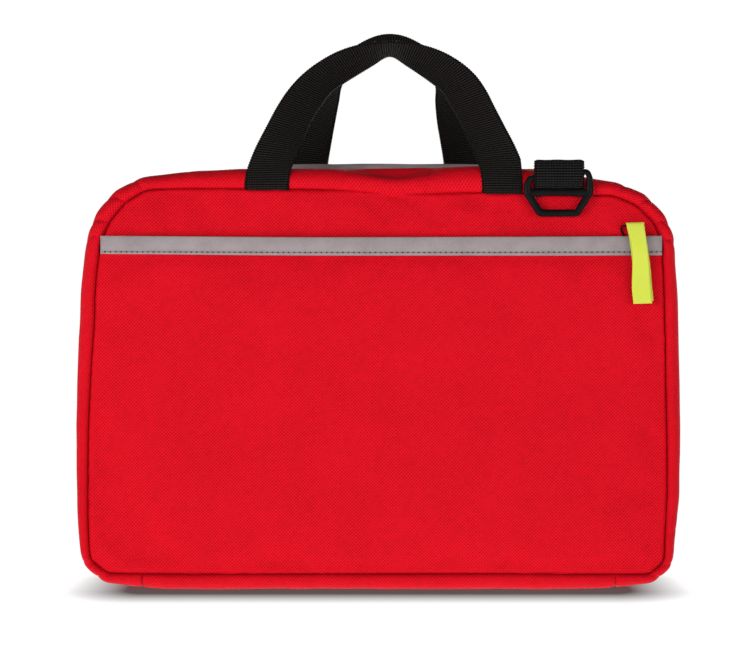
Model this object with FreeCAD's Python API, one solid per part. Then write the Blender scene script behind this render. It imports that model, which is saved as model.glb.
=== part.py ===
import FreeCAD, Part
import math
import os

from FreeCAD import Vector as V

# Soft clamshell first aid bag: +X is the bag's right seen from the front, -Y is
# the front, +Z is up. The origin is under the middle of the bag, on the surface
# it stands on, in the plane of the main zipper.

# ---------------------------------------------------------------- dimensions
HALF_W = 166.8          # widest half width of the gusset
BODY_H = 232.5          # body height at the middle of the top
HALF_D = 37.0           # half depth, panel seam to zipper plane
CORNER_T = 42.0         # top corner radius
CORNER_B = 34.0         # bottom corner radius
SEAM_X, SEAM_T, SEAM_B = 8.0, 12.5, 8.9   # seam inset at sides, top, bottom
FABRIC = 1.2            # gusset fabric with its coating
ZIP_EDGE = 5.5          # half width of tape left showing
TAPE_EDGE = 14.0        # half width of the main zipper's tape
HINGE_X = 130.0         # half length of the bottom gusset, the living hinge
STRAP_T = 1.8           # 25 mm webbing thickness
STRIP_LO, STRIP_HI = 184.4, 194.2         # pocket flap strip
POCKET_ZIP_Z = 189.6    # pocket zipper's centre line
HANDLE_Z = 221.9        # where each strap leaves its top seam
RING_X0, RING_X1 = 81.9, 118.7
CLEAR = 0.05

os.makedirs("parts", exist_ok=True)
made = {}


def save(name, solids):
    if not isinstance(solids, (list, tuple)):
        solids = [solids]
    flat = []
    for s in solids:
        flat += s.Solids
    assert flat, name
    for s in flat:
        assert s.isValid() and s.Volume > 0, name
    shape = flat[0] if len(flat) == 1 else Part.makeCompound(flat)
    shape.exportStep("parts/%s.step" % name)
    b = shape.BoundBox
    made[name] = shape
    print("%-28s %d solids %9.1f mm3  x %.1f..%.1f y %.1f..%.1f z %.1f..%.1f" % (
        name, len(flat), shape.Volume, b.XMin, b.XMax, b.YMin, b.YMax, b.ZMin, b.ZMax))


def box(x0, x1, y0, y1, z0, z1):
    return Part.makeBox(x1 - x0, y1 - y0, z1 - z0, V(x0, y0, z0))


def fillet_poly(pts, radii, y):
    """A closed wire of lines and tangent arcs round a polygon in the plane at y."""
    n = len(pts)
    ends = []
    for i in range(n):
        p0, p, p1 = pts[i - 1], pts[i], pts[(i + 1) % n]
        a = V(p0[0] - p[0], 0, p0[1] - p[1])
        b = V(p1[0] - p[0], 0, p1[1] - p[1])
        a.normalize()
        b.normalize()
        turn = math.pi - a.getAngle(b)
        t = radii[i] * math.tan(turn / 2)
        c = V(p[0], 0, p[1])
        m = a + b
        m.normalize()
        mid = c + m * (radii[i] / math.cos(turn / 2) - radii[i])
        ends.append((c + a * t, mid, c + b * t))
    edges = []
    for i in range(n):
        s, m, e = [V(q.x, y, q.z) for q in ends[i]]
        edges.append(Part.Arc(s, m, e).toShape())
        nxt = ends[(i + 1) % n][0]
        edges.append(Part.LineSegment(e, V(nxt.x, y, nxt.z)).toShape())
    return Part.Wire(edges)


def outline(dx, dt, db, y, shrink=None):
    """The bag's outline, drawn in by dx at the sides, dt at the top, db below."""
    s = (dx + dt) / 2 if shrink is None else shrink
    sb = (dx + db) / 2 if shrink is None else shrink
    pts = [
        (-HALF_W + dx, 70), (-161.8 + dx, 228 - dt), (-70, BODY_H - dt),
        (70, BODY_H - dt), (161.8 - dx, 228 - dt), (HALF_W - dx, 70),
        (166.0 - dx, db), (-166.0 + dx, db),
    ]
    rt, rb = CORNER_T - s, CORNER_B - sb * 1.3
    radii = [300, rt, 420, 420, rt, 300, rb, rb]
    return fillet_poly(pts, radii, y)


def slab(dx, dt, db, y0, y1):
    f = Part.Face(outline(dx, dt, db, y0))
    return f.extrude(V(0, y1 - y0, 0))


def lofted(rows):
    return Part.makeLoft([outline(dx, dt, db, y) for y, dx, dt, db in rows], True, True)


def mirrored(shape):
    return shape.mirror(V(0, 0, 0), V(0, 1, 0))


# ------------------------------------------------------------- front half
OUT = [(-37.0, SEAM_X, SEAM_T, SEAM_B), (-33.5, 2.5, 4.0, 3.0),
       (-28.0, 0.0, 0.0, 0.0), (-0.05, 0.0, 0.0, 0.0)]
INN = [(-37.5, SEAM_X + 1.9, SEAM_T + 2.4, SEAM_B + 2.0), (-33.5, 3.7, 5.2, 4.2),
       (-28.0, FABRIC, FABRIC, FABRIC), (0.5, FABRIC, FABRIC, FABRIC)]
skin = lofted(OUT).cut(lofted(INN))
bottom_zone = box(-HINGE_X, HINGE_X, -60, 0, -5, 30)
gusset = skin.cut(box(-HINGE_X - CLEAR, HINGE_X + CLEAR, -60, 1, -5, 30))
gusset = gusset.cut(box(-200, 200, -ZIP_EDGE, 1, -5, 300))
bottom_gusset = skin.common(bottom_zone)


def ring(a, b, y0, y1):
    return slab(*a, y0, y1).cut(slab(*b, y0 - 1, y1 + 1))


no_bottom = box(-HINGE_X - 2, HINGE_X + 2, -60, 60, -5, 30)
tape = ring((1.3, 1.3, 1.3), (1.9, 1.9, 1.9), -TAPE_EDGE, -1.0).cut(no_bottom)
coil = ring((0.55, 0.55, 0.55), (2.3, 2.3, 2.3), -0.95, -CLEAR).cut(no_bottom)
foam_ring = ring((1.3, 1.3, 1.3), (4.9, 4.9, 4.9), -27.9, -TAPE_EDGE - 0.1)
lining = ring((5.2, 5.2, 5.2), (5.8, 5.8, 5.8), -32.0, -2.5)
lining = lining.fuse(slab(5.2, 5.2, 5.2, -32.6, -32.0).common(slab(7.5, 9.5, 8, -33, -31)))
lining = lining.fuse(ring((5.2, 5.2, 5.2), (9, 10, 9), -32.05, -31.4)).removeSplitter()
binding = ring((7.4, 11.0, 8.6), (9.2, 13.6, 10.2), -35.6, -34.6)
board = slab(9.6, 14.2, 10.6, -35.7, -32.75)
backing = slab(10.2, 15.4, 11.2, -36.45, -35.8)

panel_face = slab(SEAM_X + 0.1, SEAM_T + 0.1, SEAM_B + 0.1, -38.0, -37.1)
upper_panel = panel_face.common(box(-200, 200, -60, 0, 192.4, 300))
pocket_panel = panel_face.common(box(-200, 200, -60, 0, -5, 186.8))

strip_x = 156.6
strip = box(-strip_x, strip_x, -41.6, -40.6, STRIP_LO, STRIP_HI)
strip = strip.fuse(box(-strip_x, strip_x, -41.6, -38.05, STRIP_LO, STRIP_LO + 1.2)).removeSplitter()
zip_tapes = [box(-148, 148, -37.05, -36.5, POCKET_ZIP_Z + 0.75, POCKET_ZIP_Z + 7),
             box(-148, 148, -37.05, -36.5, POCKET_ZIP_Z - 7, POCKET_ZIP_Z - 0.75)]
pocket_coil = box(-148, 148, -37.7, -36.5, POCKET_ZIP_Z - 0.7, POCKET_ZIP_Z + 0.7)


# ----------------------------------------------------------------- webbing
def hermite(pts, n):
    """A smooth run of n points through pts (Catmull-Rom)."""
    out = []
    m = len(pts) - 1
    for k in range(n):
        u = k * m / (n - 1)
        i = min(int(u), m - 1)
        t = u - i
        p0 = pts[max(i - 1, 0)]
        p1, p2 = pts[i], pts[i + 1]
        p3 = pts[min(i + 2, m)]
        out.append(tuple(
            0.5 * (2 * b + (c - a) * t + (2 * a - 5 * b + 4 * c - d) * t * t
                   + (3 * b - a - 3 * c + d) * t ** 3)
            for a, b, c, d in zip(p0, p1, p2, p3)))
    return out


# Each station is the strap's outer edge and inner edge, from the left foot to the
# crown; the strap stands flat at its feet and turns edge-up at the crown.
FRONT_LEFT = [
    (-73.5, -39.2, 221.9, -49.1, -39.2, 221.9),
    (-72.3, -38.4, 231.5, -47.9, -37.6, 232.0),
    (-67.8, -38.0, 243.2, -44.2, -33.0, 240.6),
    (-61.6, -37.2, 255.4, -40.8, -25.2, 250.6),
    (-56.0, -36.2, 266.0, -36.4, -22.4, 260.6),
    (-49.6, -35.2, 275.8, -30.8, -20.0, 269.4),
    (-41.6, -34.2, 284.6, -25.6, -17.6, 276.4),
    (-32.0, -33.4, 291.9, -19.6, -14.8, 280.8),
    (-21.0, -32.8, 297.8, -11.7, -13.0, 285.9),
    (-8.0, -32.2, 301.6, -3.0, -10.6, 291.4),
    (6.35, -32.0, 302.8, 6.35, -9.0, 296.8),
]
REAR_LEFT = [
    (-54.6, 39.2, 221.9, -30.2, 39.2, 221.9),
    (-54.0, 38.4, 231.5, -29.8, 37.4, 231.5),
    (-51.0, 37.6, 242.5, -28.8, 31.0, 240.5),
    (-46.0, 35.6, 256.5, -26.8, 22.4, 250.8),
    (-39.6, 31.6, 269.5, -24.6, 14.6, 262.0),
    (-33.4, 27.6, 280.0, -22.4, 8.2, 272.6),
    (-27.4, 23.4, 290.6, -20.4, 2.2, 282.0),
    (-20.4, 18.9, 300.2, -12.6, -2.2, 289.6),
    (-10.6, 16.0, 306.8, -6.0, -5.2, 294.8),
    (-1.6, 14.0, 310.9, 1.5, -6.2, 296.9),
    (6.6, 13.6, 312.2, 6.6, -6.6, 297.6),
]


def lean(z):
    """How far the crown of a handle leans to the right, growing with height."""
    t = min(max((z - 262.0) / 34.0, 0.0), 1.0)
    return 2.3 * t * t * (3 - 2 * t)


def both_legs(left, cx):
    right = [(2 * (cx + lean(a[2])) - a[0], a[1], a[2], 2 * (cx + lean(a[5])) - a[3], a[4], a[5])
             for a in left[-2::-1]]
    return left + right


def strap_solid(stations, n, t):
    rows = hermite(stations, n)
    mids = [V((r[0] + r[3]) / 2, (r[1] + r[4]) / 2, (r[2] + r[5]) / 2) for r in rows]
    wires = []
    for i, r in enumerate(rows):
        a, b = V(*r[:3]), V(*r[3:])
        tan = mids[min(i + 1, n - 1)] - mids[max(i - 1, 0)]
        nrm = (b - a).cross(tan)
        nrm.normalize()
        h = nrm * (t / 2)
        if i in (0, n - 1):
            h = V(0, t / 2, 0) * (1 if h.y > 0 else -1)
        q = [a + h, b + h, b - h, a - h]
        wires.append(Part.makePolygon(q + [q[0]]))
    return Part.makeLoft(wires, True, True)


front_handle = strap_solid(both_legs(FRONT_LEFT, 3.95), 33, STRAP_T)
rear_handle = strap_solid(both_legs(REAR_LEFT, 4.4), 33, STRAP_T)


def handle_ends(xs, sign):
    out = []
    for x0, x1 in xs:
        lip = box(x0, x1, -38.35, -36.6, 220.25, 220.9)
        tail = box(x0, x1, -36.95, -35.9, 209.0, 220.9)
        s = lip.fuse(tail).removeSplitter()
        out.append(s if sign < 0 else mirrored(s))
    return out


front_ends = handle_ends([(-73.5, -49.1), (57.0, 81.4)], -1)
rear_ends = handle_ends([(-54.6, -30.2), (39.0, 63.4)], 1)


# --------------------------------------------------------------- shoulder rings
def ring_loop(xc, drop, sign):
    """A folded tab of webbing: two layers from the top seam, open round the ring's bar."""
    t, w = 1.3, 25.0
    path = [(-36.4, 209.0), (-36.4, 220.35), (-38.6, 220.9), (-39.25, 222.0), (-39.4, 229.5 - drop),
            (-39.8, 234.6 - drop), (-41.6, 236.2 - drop), (-44.0, 235.8 - drop),
            (-45.5, 232.5 - drop), (-45.6, 229.0 - drop), (-45.2, 226.8 - drop),
            (-43.2, 223.6 - drop * 0.4), (-41.5, 222.3)]
    # offset the centre line both ways into a closed profile
    left, right = [], []
    for i, p in enumerate(path):
        a = path[max(i - 1, 0)]
        b = path[min(i + 1, len(path) - 1)]
        d = V(b[0] - a[0], b[1] - a[1], 0)
        d.normalize()
        n = V(-d.y, d.x, 0)
        left.append((p[0] + n.x * t / 2, p[1] + n.y * t / 2))
        right.append((p[0] - n.x * t / 2, p[1] - n.y * t / 2))
    pts = left + right[::-1]
    w0 = [V(xc - w / 2, y, z) for y, z in pts]
    s = Part.Face(Part.makePolygon(w0 + [w0[0]])).extrude(V(w, 0, 0))
    return s if sign < 0 else mirrored(s)


def d_ring(x0, x1, ztop, sign):
    """A six-sided plastic ring with a top bar, a bowed middle bar and a flat foot."""
    y0, y1 = -43.9, -40.9
    ym = (y0 + y1) / 2
    xc = (x0 + x1) / 2
    h = 3.0
    outer = [(x0 + 1.2, ztop + 1.6), (x1 - 1.2, ztop + 1.6), (x1, ztop), (x1, ztop - 12.6),
             (x1 - 8.2, ztop - 23.8), (x0 + 8.2, ztop - 23.8), (x0, ztop - 12.6), (x0, ztop)]
    slot = [(x0 + h, ztop - 1.5), (x1 - h, ztop - 1.5), (x1 - h, ztop - 9.9),
            (xc, ztop - 11.2), (x0 + h, ztop - 9.9)]
    eye = [(x0 + h + 0.6, ztop - 13.6), (xc, ztop - 14.4), (x1 - h - 0.6, ztop - 13.6),
           (x1 - 9.6, ztop - 20.8), (x0 + 9.6, ztop - 20.8)]

    def prism(pts, grow=0):
        w = [V(a, y0 - grow, b) for a, b in pts]
        return Part.Face(Part.makePolygon(w + [w[0]])).extrude(V(0, y1 - y0 + 2 * grow, 0))

    s = prism(outer).cut(prism(slot, 1)).cut(prism(eye, 1))
    edges = [e for e in s.Edges if abs(e.BoundBox.YLength) < 1e-6 and e.Length > 6]
    try:
        r = s.makeFillet(0.7, edges)
        if r.isValid():
            s = r
    except Exception:
        pass
    return s if sign < 0 else mirrored(s)


RING_BAR_Z = 229.5
RING_XC = (RING_X0 + RING_X1) / 2
front_loop = ring_loop(RING_XC, 0.0, -1)
front_ring = d_ring(RING_X0, RING_X1, RING_BAR_Z, -1)
REAR_RING_XC = -100.3
REAR_DROP = 2.6
rear_loop = ring_loop(REAR_RING_XC, REAR_DROP, 1)
rear_ring = d_ring(REAR_RING_XC - 18.4, REAR_RING_XC + 18.4, RING_BAR_Z - REAR_DROP, 1)


def room(shape, tools, grow=0.06):
    """Cut room for pieces sewn into the seam."""
    for t in tools:
        b = t.BoundBox
        shape = shape.cut(box(b.XMin - grow, b.XMax + grow, max(b.YMin, -37.2) - grow - 6, -35.6, 219.0, 221.6))
        shape = shape.cut(box(b.XMin - grow, b.XMax + grow, -37.4, -35.55, 208.9, 221.0))
    return shape


front_tools = front_ends + [front_loop]
rear_tools = [mirrored(t) for t in rear_ends + [rear_loop]]



def notched(panel, tools):
    """The seam's strap ends pass over the panel's top edge."""
    for t in tools:
        b = t.BoundBox
        panel = panel.cut(box(b.XMin - 0.06, b.XMax + 0.06, -39, -36, 219.0, 222))
    return panel


save("front_upper_panel", notched(upper_panel, front_tools))
save("front_pocket_panel", pocket_panel)
save("pocket_back_panel", room(backing, front_tools))
save("front_gusset", room(gusset, front_tools))
save("front_bottom_gusset", bottom_gusset)
save("front_foam_board", board)
save("front_gusset_foam", foam_ring)
save("front_lining", lining)
save("front_seam_binding", binding)
save("main_zip_tape_front", tape)
save("main_zip_coil_front", coil)
save("pocket_zip_tapes", zip_tapes)
save("pocket_zip_coil", pocket_coil)
save("front_reflective_strip", strip)
save("front_handle", front_handle)
save("front_handle_ends", front_ends)
save("front_ring_loop", front_loop)
save("front_d_ring", front_ring)

# -------------------------------------------------------------- rear half
rear_panel = slab(SEAM_X + 0.1, SEAM_T + 0.1, SEAM_B + 0.1, -38.0, -37.1)
rear_panel = notched(rear_panel, rear_tools)
save("rear_panel", mirrored(rear_panel))
save("rear_gusset", mirrored(room(gusset, rear_tools)))
save("rear_bottom_gusset", mirrored(bottom_gusset))
save("rear_foam_board", mirrored(slab(9.6, 14.2, 10.6, -35.5, -32.75)))
save("rear_gusset_foam", mirrored(foam_ring))
save("rear_lining", mirrored(lining))
save("rear_seam_binding", mirrored(binding))
save("main_zip_tape_rear", mirrored(tape))
save("main_zip_coil_rear", mirrored(coil))
save("rear_handle", rear_handle)
save("rear_handle_ends", rear_ends)
save("rear_ring_loop", rear_loop)
save("rear_d_ring", rear_ring)
# raised folded strip sewn along the rear edge of the main zipper
flap = Part.Face(Part.makePolygon([V(-60.5, y, z) for y, z in [
    (5.6, 232.55), (13.5, 232.55), (13.5, 233.4), (11.0, 236.2), (8.4, 237.4),
    (6.2, 237.0), (5.3, 235.0), (5.6, 232.55)]])).extrude(V(129.0, 0, 0))
save("top_reflective_strip", flap)


# ------------------------------------------------------------- slider parts
def pocket_slider_parts():
    x = 137.6
    z = POCKET_ZIP_Z
    plate = box(x - 5, x + 5, -39.4, -38.15, z - 3.6, z + 3.6)
    plate = plate.makeFillet(0.5, [e for e in plate.Edges if e.BoundBox.YLength > 1])
    bail = box(x - 2.6, x + 2.6, -40.4, -39.45, z + 0.4, z + 1.6)
    bail = bail.fuse(box(x - 2.6, x + 2.6, -40.4, -39.3, z - 1.4, z - 0.4))
    post = box(x - 2.6, x + 2.6, -40.4, -39.95, z - 1.4, z + 1.6)
    return plate.fuse(bail).fuse(post).removeSplitter()


slider = pocket_slider_parts()
save("pocket_slider", slider)
# Cord loop from the slider's bail, up past the flap's free edge, to the ribbon.
PIVOT_Y, PIVOT_Z = -43.2, 200.6


def tube_path(pts, r):
    out = None
    for a, b in zip(pts, pts[1:]):
        a, b = V(*a), V(*b)
        c = Part.makeCylinder(r, (b - a).Length, a, b - a)
        out = c if out is None else out.fuse(c)
    for p in pts[1:-1]:
        out = out.fuse(Part.makeSphere(r, V(*p)))
    return out.removeSplitter()


cord = tube_path([(135.7, -40.95 + 1.0, 193.3), (135.6, -39.95, 196.4), (135.7, -42.6, 200.4)], 0.55)
save("pocket_puller_cord", cord)
tab_pts = [(136.4, 201.6), (146.2, 201.2), (151.2, 157.9), (141.0, 157.9)]
front_tab = Part.Face(Part.makePolygon([V(a, -44.6, b) for a, b in tab_pts + tab_pts[:1]])).extrude(V(0, 0.9, 0))
tab_back = [(137.6, 200.4), (146.0, 200.4), (151.4, 160.4), (143.2, 160.4)]
back_tab = Part.Face(Part.makePolygon([V(a, -43.4, b) for a, b in tab_back + tab_back[:1]])).extrude(V(0, 0.8, 0))
tab_top = Part.Face(Part.makePolygon([V(a, -44.6, b) for a, b in [(136.4, 201.6), (146.2, 201.2), (146.05, 199.8), (136.7, 199.8), (136.4, 201.6)]])).extrude(V(0, 2.0, 0))
save("pocket_pull_tab", front_tab.fuse(back_tab).fuse(tab_top).removeSplitter())

# main zipper sliders, parked nose to nose behind the front strap's right foot
MAIN_X = 70.0


PULL_Z = 233.85


def main_slider(x):
    body = box(x - 5.2, x + 5.2, -4.4, 4.4, 232.05, 233.2)
    body = body.makeFillet(1.2, [e for e in body.Edges if e.BoundBox.ZLength > 1.1])
    bail = box(x - 3.4, x - 2.4, -1.6, 1.6, 233.1, 234.9).fuse(
        box(x + 2.4, x + 3.4, -1.6, 1.6, 233.1, 234.9)).fuse(
        box(x - 3.4, x + 3.4, -1.6, 1.6, 234.4, 234.9))
    return body.fuse(bail).removeSplitter()


def main_pull(x, way):
    """Cord loop through the bail with a folded ribbon, lying outward along the zipper."""
    out = Part.makeCylinder(0.35, 6.0, V(x, -3.0, PULL_Z), V(0, 1, 0))
    x0, x1 = sorted((x, x + way * 9))
    for y0 in (-3.0, 2.0):
        out = out.fuse(box(x0, x1, y0, y0 + 1.0, PULL_Z - 0.35, PULL_Z + 0.35))
    x0, x1 = sorted((x + way * 8, x + way * 34))
    return out.fuse(box(x0, x1, -4.6, 4.6, 233.0, 234.0)).removeSplitter()


save("main_slider_left", main_slider(MAIN_X - 5.4))
save("main_slider_right", main_slider(MAIN_X + 5.4))
save("main_pull_left", main_pull(MAIN_X - 5.4, -1))
save("main_pull_right", main_pull(MAIN_X + 5.4, 1))

# --------------------------------------------------------------- front interior
# zipped mesh pocket on the front half's lining, with a glove pack and a foil blanket
save("mesh_pocket", box(-140, 140, -21.0, -20.4, 24, 168))
save("mesh_pocket_edging", [box(-141, 141, -22.2, -21.05, 160, 171), box(-141, -133, -22.2, -21.05, 31, 160),
                            box(133, 141, -22.2, -21.05, 31, 160), box(-141, 141, -22.2, -21.05, 23, 31)])
save("mesh_pocket_gusset", [box(-140, 140, -31.9, -22.25, 23, 24), box(-141, -140, -31.9, -22.25, 23, 171),
                            box(140, 141, -31.9, -22.25, 23, 171)])
save("glove_pack", box(-124, -14, -31.6, -23.0, 26, 116))
save("foil_blanket_pack", box(6, 126, -31.6, -22.6, 26, 106))

# ---------------------------------------------------------------- rear interior
def cyl_z(x, y, r, z0, z1):
    return Part.makeCylinder(r, z1 - z0, V(x, y, z0), V(0, 0, 1))


ROLLS = [(-120, 19.0, 12.4, 138, 208), (-89, 19.0, 12.4, 138, 208), (-58, 19.0, 12.4, 138, 208)]
save("bandage_rolls", [cyl_z(*r) for r in ROLLS])
tape_roll = Part.makeCylinder(26, 13, V(112, 17, 172), V(0, 1, 0)).cut(
    Part.makeCylinder(19, 15, V(112, 16, 172), V(0, 1, 0)))
save("tape_roll", tape_roll)


def band(x, y, r, z0, z1):
    """Half-round elastic loop that holds a roll against the lining."""
    o = cyl_z(x, y, r + 1.3, z0, z1).fuse(box(x - r - 1.3, x + r + 1.3, y, 31.9, z0, z1))
    i = cyl_z(x, y, r + 0.2, z0 - 1, z1 + 1).fuse(box(x - r - 0.2, x + r + 0.2, y, 40, z0 - 1, z1 + 1))
    return o.cut(i)


loops = [band(x, y, r, 160, 185) for x, y, r, _, _ in ROLLS]
save("elastic_loops", loops)

# scissors with a rivet, held by one flat elastic strap
SC_X, SC_Z = 4.0, 172.0


def blade(side, y0, y1):
    x, z = SC_X, SC_Z
    s = -1 if side == "a" else 1

    def pr(p):
        w = [V(a, y0, c) for a, c in p]
        return Part.Face(Part.makePolygon(w + [w[0]])).extrude(V(0, y1 - y0, 0))

    bl = [(x - 4.2, z - 7), (x + 4.2, z - 7), (x + 4.2, z + 6), (x + s * -1.0, z + 46), (x - 4.2, z + 6)]
    shank = [(x - s * 4.2, z - 5), (x + s * 4.2, z - 5), (x + s * 13.5, z - 26), (x + s * 8.0, z - 28)]
    out = pr(bl).fuse(pr(shank))
    cx, cz = x + s * 15.5, z - 38
    bow = Part.makeCylinder(14.0, y1 - y0, V(cx, y0, cz), V(0, 1, 0)).cut(
        Part.makeCylinder(10.0, 10, V(cx, y0 - 3, cz), V(0, 1, 0)))
    out = out.fuse(bow)
    out = out.cut(Part.makeCylinder(2.06, 20, V(x, y0 - 5, z), V(0, 1, 0)))
    return out.removeSplitter()


save("scissors_lower_half", blade("a", 26.2, 28.2))
save("scissors_upper_half", blade("b", 23.9, 25.9))
rivet = Part.makeCylinder(2.0, 5.0, V(SC_X, 23.6, SC_Z), V(0, 1, 0)).fuse(
    Part.makeCylinder(3.4, 0.9, V(SC_X, 22.9, SC_Z), V(0, 1, 0))).fuse(
    Part.makeCylinder(3.4, 0.9, V(SC_X, 28.3, SC_Z), V(0, 1, 0))).removeSplitter()
save("scissors_rivet", rivet)
save("scissors_strap", [box(SC_X - 14, SC_X + 14, 21.2, 22.2, SC_Z - 3.5, SC_Z + 3.5),
                        box(SC_X - 14, SC_X - 13, 22.2, 31.9, SC_Z - 3.5, SC_Z + 3.5),
                        box(SC_X + 13, SC_X + 14, 22.2, 31.9, SC_Z - 3.5, SC_Z + 3.5)])
save("tape_roll_strap", [box(105, 119, 15.4, 16.4, 142, 202), box(105, 119, 16.4, 31.9, 142, 143),
                         box(105, 119, 16.4, 31.9, 201, 202)])
tw = Part.Face(Part.makePolygon([V(66, 29.6, 214), V(72, 29.6, 214), V(69.6, 29.6, 130), V(68.4, 29.6, 130), V(66, 29.6, 214)])).extrude(V(0, 1.0, 0))
tw2 = Part.Face(Part.makePolygon([V(66, 25.0, 214), V(72, 25.0, 214), V(69.6, 28.2, 130), V(68.4, 28.2, 130), V(66, 25.0, 214)])).extrude(V(0, 1.0, 0))
save("tweezers", tw.fuse(tw2).fuse(box(66, 72, 25.0, 30.6, 210.5, 214)).removeSplitter())
save("tweezers_loop", box(63.6, 74.4, 23.2, 24.2, 168, 182).fuse(box(63.6, 64.6, 23.2, 31.9, 168, 182)).fuse(
    box(73.4, 74.4, 23.2, 31.9, 168, 182)).removeSplitter())

# sleeve pocket across the bottom of the rear half
save("rear_sleeve_pocket", [
    box(-147, 147, 9.0, 10.0, 16, 112), box(-147, -146, 10.0, 31.3, 17, 112),
    box(146, 147, 10.0, 31.3, 17, 112), box(-147, 147, 10.0, 31.3, 16, 17),
    box(-34.5, -33.5, 10.0, 31.3, 17, 112), box(55.5, 56.5, 10.0, 31.3, 17, 112)])
save("sleeve_pocket_binding", box(-147, 147, 7.9, 8.95, 104, 113.5).fuse(
    box(-147, 147, 7.9, 11.2, 112.05, 113.5)).removeSplitter())
save("gauze_packs", [box(-140, -42, 11.3 + 4.2 * i, 15.1 + 4.2 * i, 18, 118 - 4 * (3 - i)) for i in range(4)])
save("plaster_box", box(-28, 50, 11.5, 30.5, 18, 118))
save("triangular_bandage", box(64, 142, 11.5, 29.5, 18, 116))
save("wipe_sachets", [box(82 + 2 * i, 138 - 2 * i, 1.6 + 1.7 * i, 3.0 + 1.7 * i, 30 + 2 * i, 80 + 2 * i) for i in range(3)])

total = Part.makeCompound(list(made.values()))
b = total.BoundBox
print(len(made), "nodes; box", [round(v, 2) for v in (b.XMin, b.XMax, b.YMin, b.YMax, b.ZMin, b.ZMax)])
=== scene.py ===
import bpy
import bmesh
import math
import random
import numpy as np
from mathutils import Vector, Matrix


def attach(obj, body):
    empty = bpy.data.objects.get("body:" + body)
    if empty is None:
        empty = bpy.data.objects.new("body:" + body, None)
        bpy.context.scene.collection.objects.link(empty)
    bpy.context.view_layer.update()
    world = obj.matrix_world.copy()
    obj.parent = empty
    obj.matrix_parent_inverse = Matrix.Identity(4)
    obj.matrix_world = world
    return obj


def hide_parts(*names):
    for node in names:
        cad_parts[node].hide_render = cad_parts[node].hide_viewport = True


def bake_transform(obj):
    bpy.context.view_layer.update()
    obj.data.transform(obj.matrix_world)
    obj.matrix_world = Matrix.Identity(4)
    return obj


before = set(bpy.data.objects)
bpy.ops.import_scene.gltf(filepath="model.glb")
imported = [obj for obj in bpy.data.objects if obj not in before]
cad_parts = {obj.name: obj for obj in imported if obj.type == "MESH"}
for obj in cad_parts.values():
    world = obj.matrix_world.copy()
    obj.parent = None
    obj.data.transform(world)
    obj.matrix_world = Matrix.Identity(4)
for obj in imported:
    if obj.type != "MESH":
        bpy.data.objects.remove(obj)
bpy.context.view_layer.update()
R = random.Random(7)
MM = 0.001

# =====================================================================
# helpers
# =====================================================================


def link(o):
    bpy.context.scene.collection.objects.link(o)
    return o


def mesh_object(name, verts, faces, uvs=None, smooth=True, scale=MM):
    """A mesh object from millimetre points; uvs is one (u, v) per vertex, in millimetres."""
    me = bpy.data.meshes.new(name)
    v = np.asarray(verts, dtype=float) * scale
    me.from_pydata([tuple(p) for p in v], [], [tuple(int(i) for i in f) for f in faces])
    if uvs is not None:
        uv = np.asarray(uvs, dtype=float)
        layer = me.uv_layers.new(name="UVMap")
        idx = np.zeros(len(me.loops), dtype=np.int32)
        me.loops.foreach_get("vertex_index", idx)
        layer.data.foreach_set("uv", uv[idx].ravel())
    if smooth:
        me.polygons.foreach_set("use_smooth", [True] * len(me.polygons))
    me.update()
    return link(bpy.data.objects.new(name, me))


def grid_faces(n, m, closed_n=False, closed_m=False):
    out = []
    for i in range(n if closed_n else n - 1):
        for j in range(m if closed_m else m - 1):
            a, b = i * m + j, ((i + 1) % n) * m + j
            c, d = ((i + 1) % n) * m + (j + 1) % m, i * m + (j + 1) % m
            out.append((a, b, c, d))
    return out


def grid_object(name, P, uv, flip=False, closed_n=False, closed_m=False):
    n, m = P.shape[:2]
    f = grid_faces(n, m, closed_n, closed_m)
    if flip:
        f = [t[::-1] for t in f]
    return mesh_object(name, P.reshape(-1, 3), f, uv.reshape(-1, 2))


def catmull(pts, n, closed=False):
    """n points evenly spaced in parameter through pts."""
    P = np.asarray(pts, dtype=float)
    m = len(P) if closed else len(P) - 1
    out = []
    for k in range(n):
        u = k * m / (n if closed else n - 1)
        i = min(int(u), m - 1)
        t = u - i
        if closed:
            p0, p1, p2, p3 = P[(i - 1) % m], P[i], P[(i + 1) % m], P[(i + 2) % m]
        else:
            p0, p1, p2, p3 = P[max(i - 1, 0)], P[i], P[i + 1], P[min(i + 2, m)]
        out.append(0.5 * (2 * p1 + (p2 - p0) * t + (2 * p0 - 5 * p1 + 4 * p2 - p3) * t * t
                          + (3 * p1 - p0 - 3 * p2 + p3) * t ** 3))
    return np.array(out)


def resample(P, step=None, n=None, closed=False):
    """Points along a polyline at even lengths."""
    Q = np.vstack([P, P[:1]]) if closed else P
    d = np.r_[0, np.cumsum(np.linalg.norm(np.diff(Q, axis=0), axis=1))]
    if n is None:
        n = max(2, int(round(d[-1] / step)) + (0 if closed else 1))
    s = np.linspace(0, d[-1], n, endpoint=not closed)
    return np.column_stack([np.interp(s, d, Q[:, k]) for k in range(Q.shape[1])]), s


def gauss(a, sigma, closed=False):
    """Smooths rows of a along axis 0 with a normal kernel, sigma in samples."""
    if sigma <= 0:
        return a
    r = int(3 * sigma) + 1
    k = np.exp(-0.5 * (np.arange(-r, r + 1) / sigma) ** 2)
    k /= k.sum()
    a = np.asarray(a, dtype=float)
    flat = a.reshape(len(a), -1)
    pad = np.vstack([flat[-r:], flat, flat[:r]]) if closed else np.vstack(
        [np.repeat(flat[:1], r, 0), flat, np.repeat(flat[-1:], r, 0)])
    out = np.column_stack([np.convolve(pad[:, c], k, mode="valid") for c in range(flat.shape[1])])
    return out.reshape(a.shape)


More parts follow.
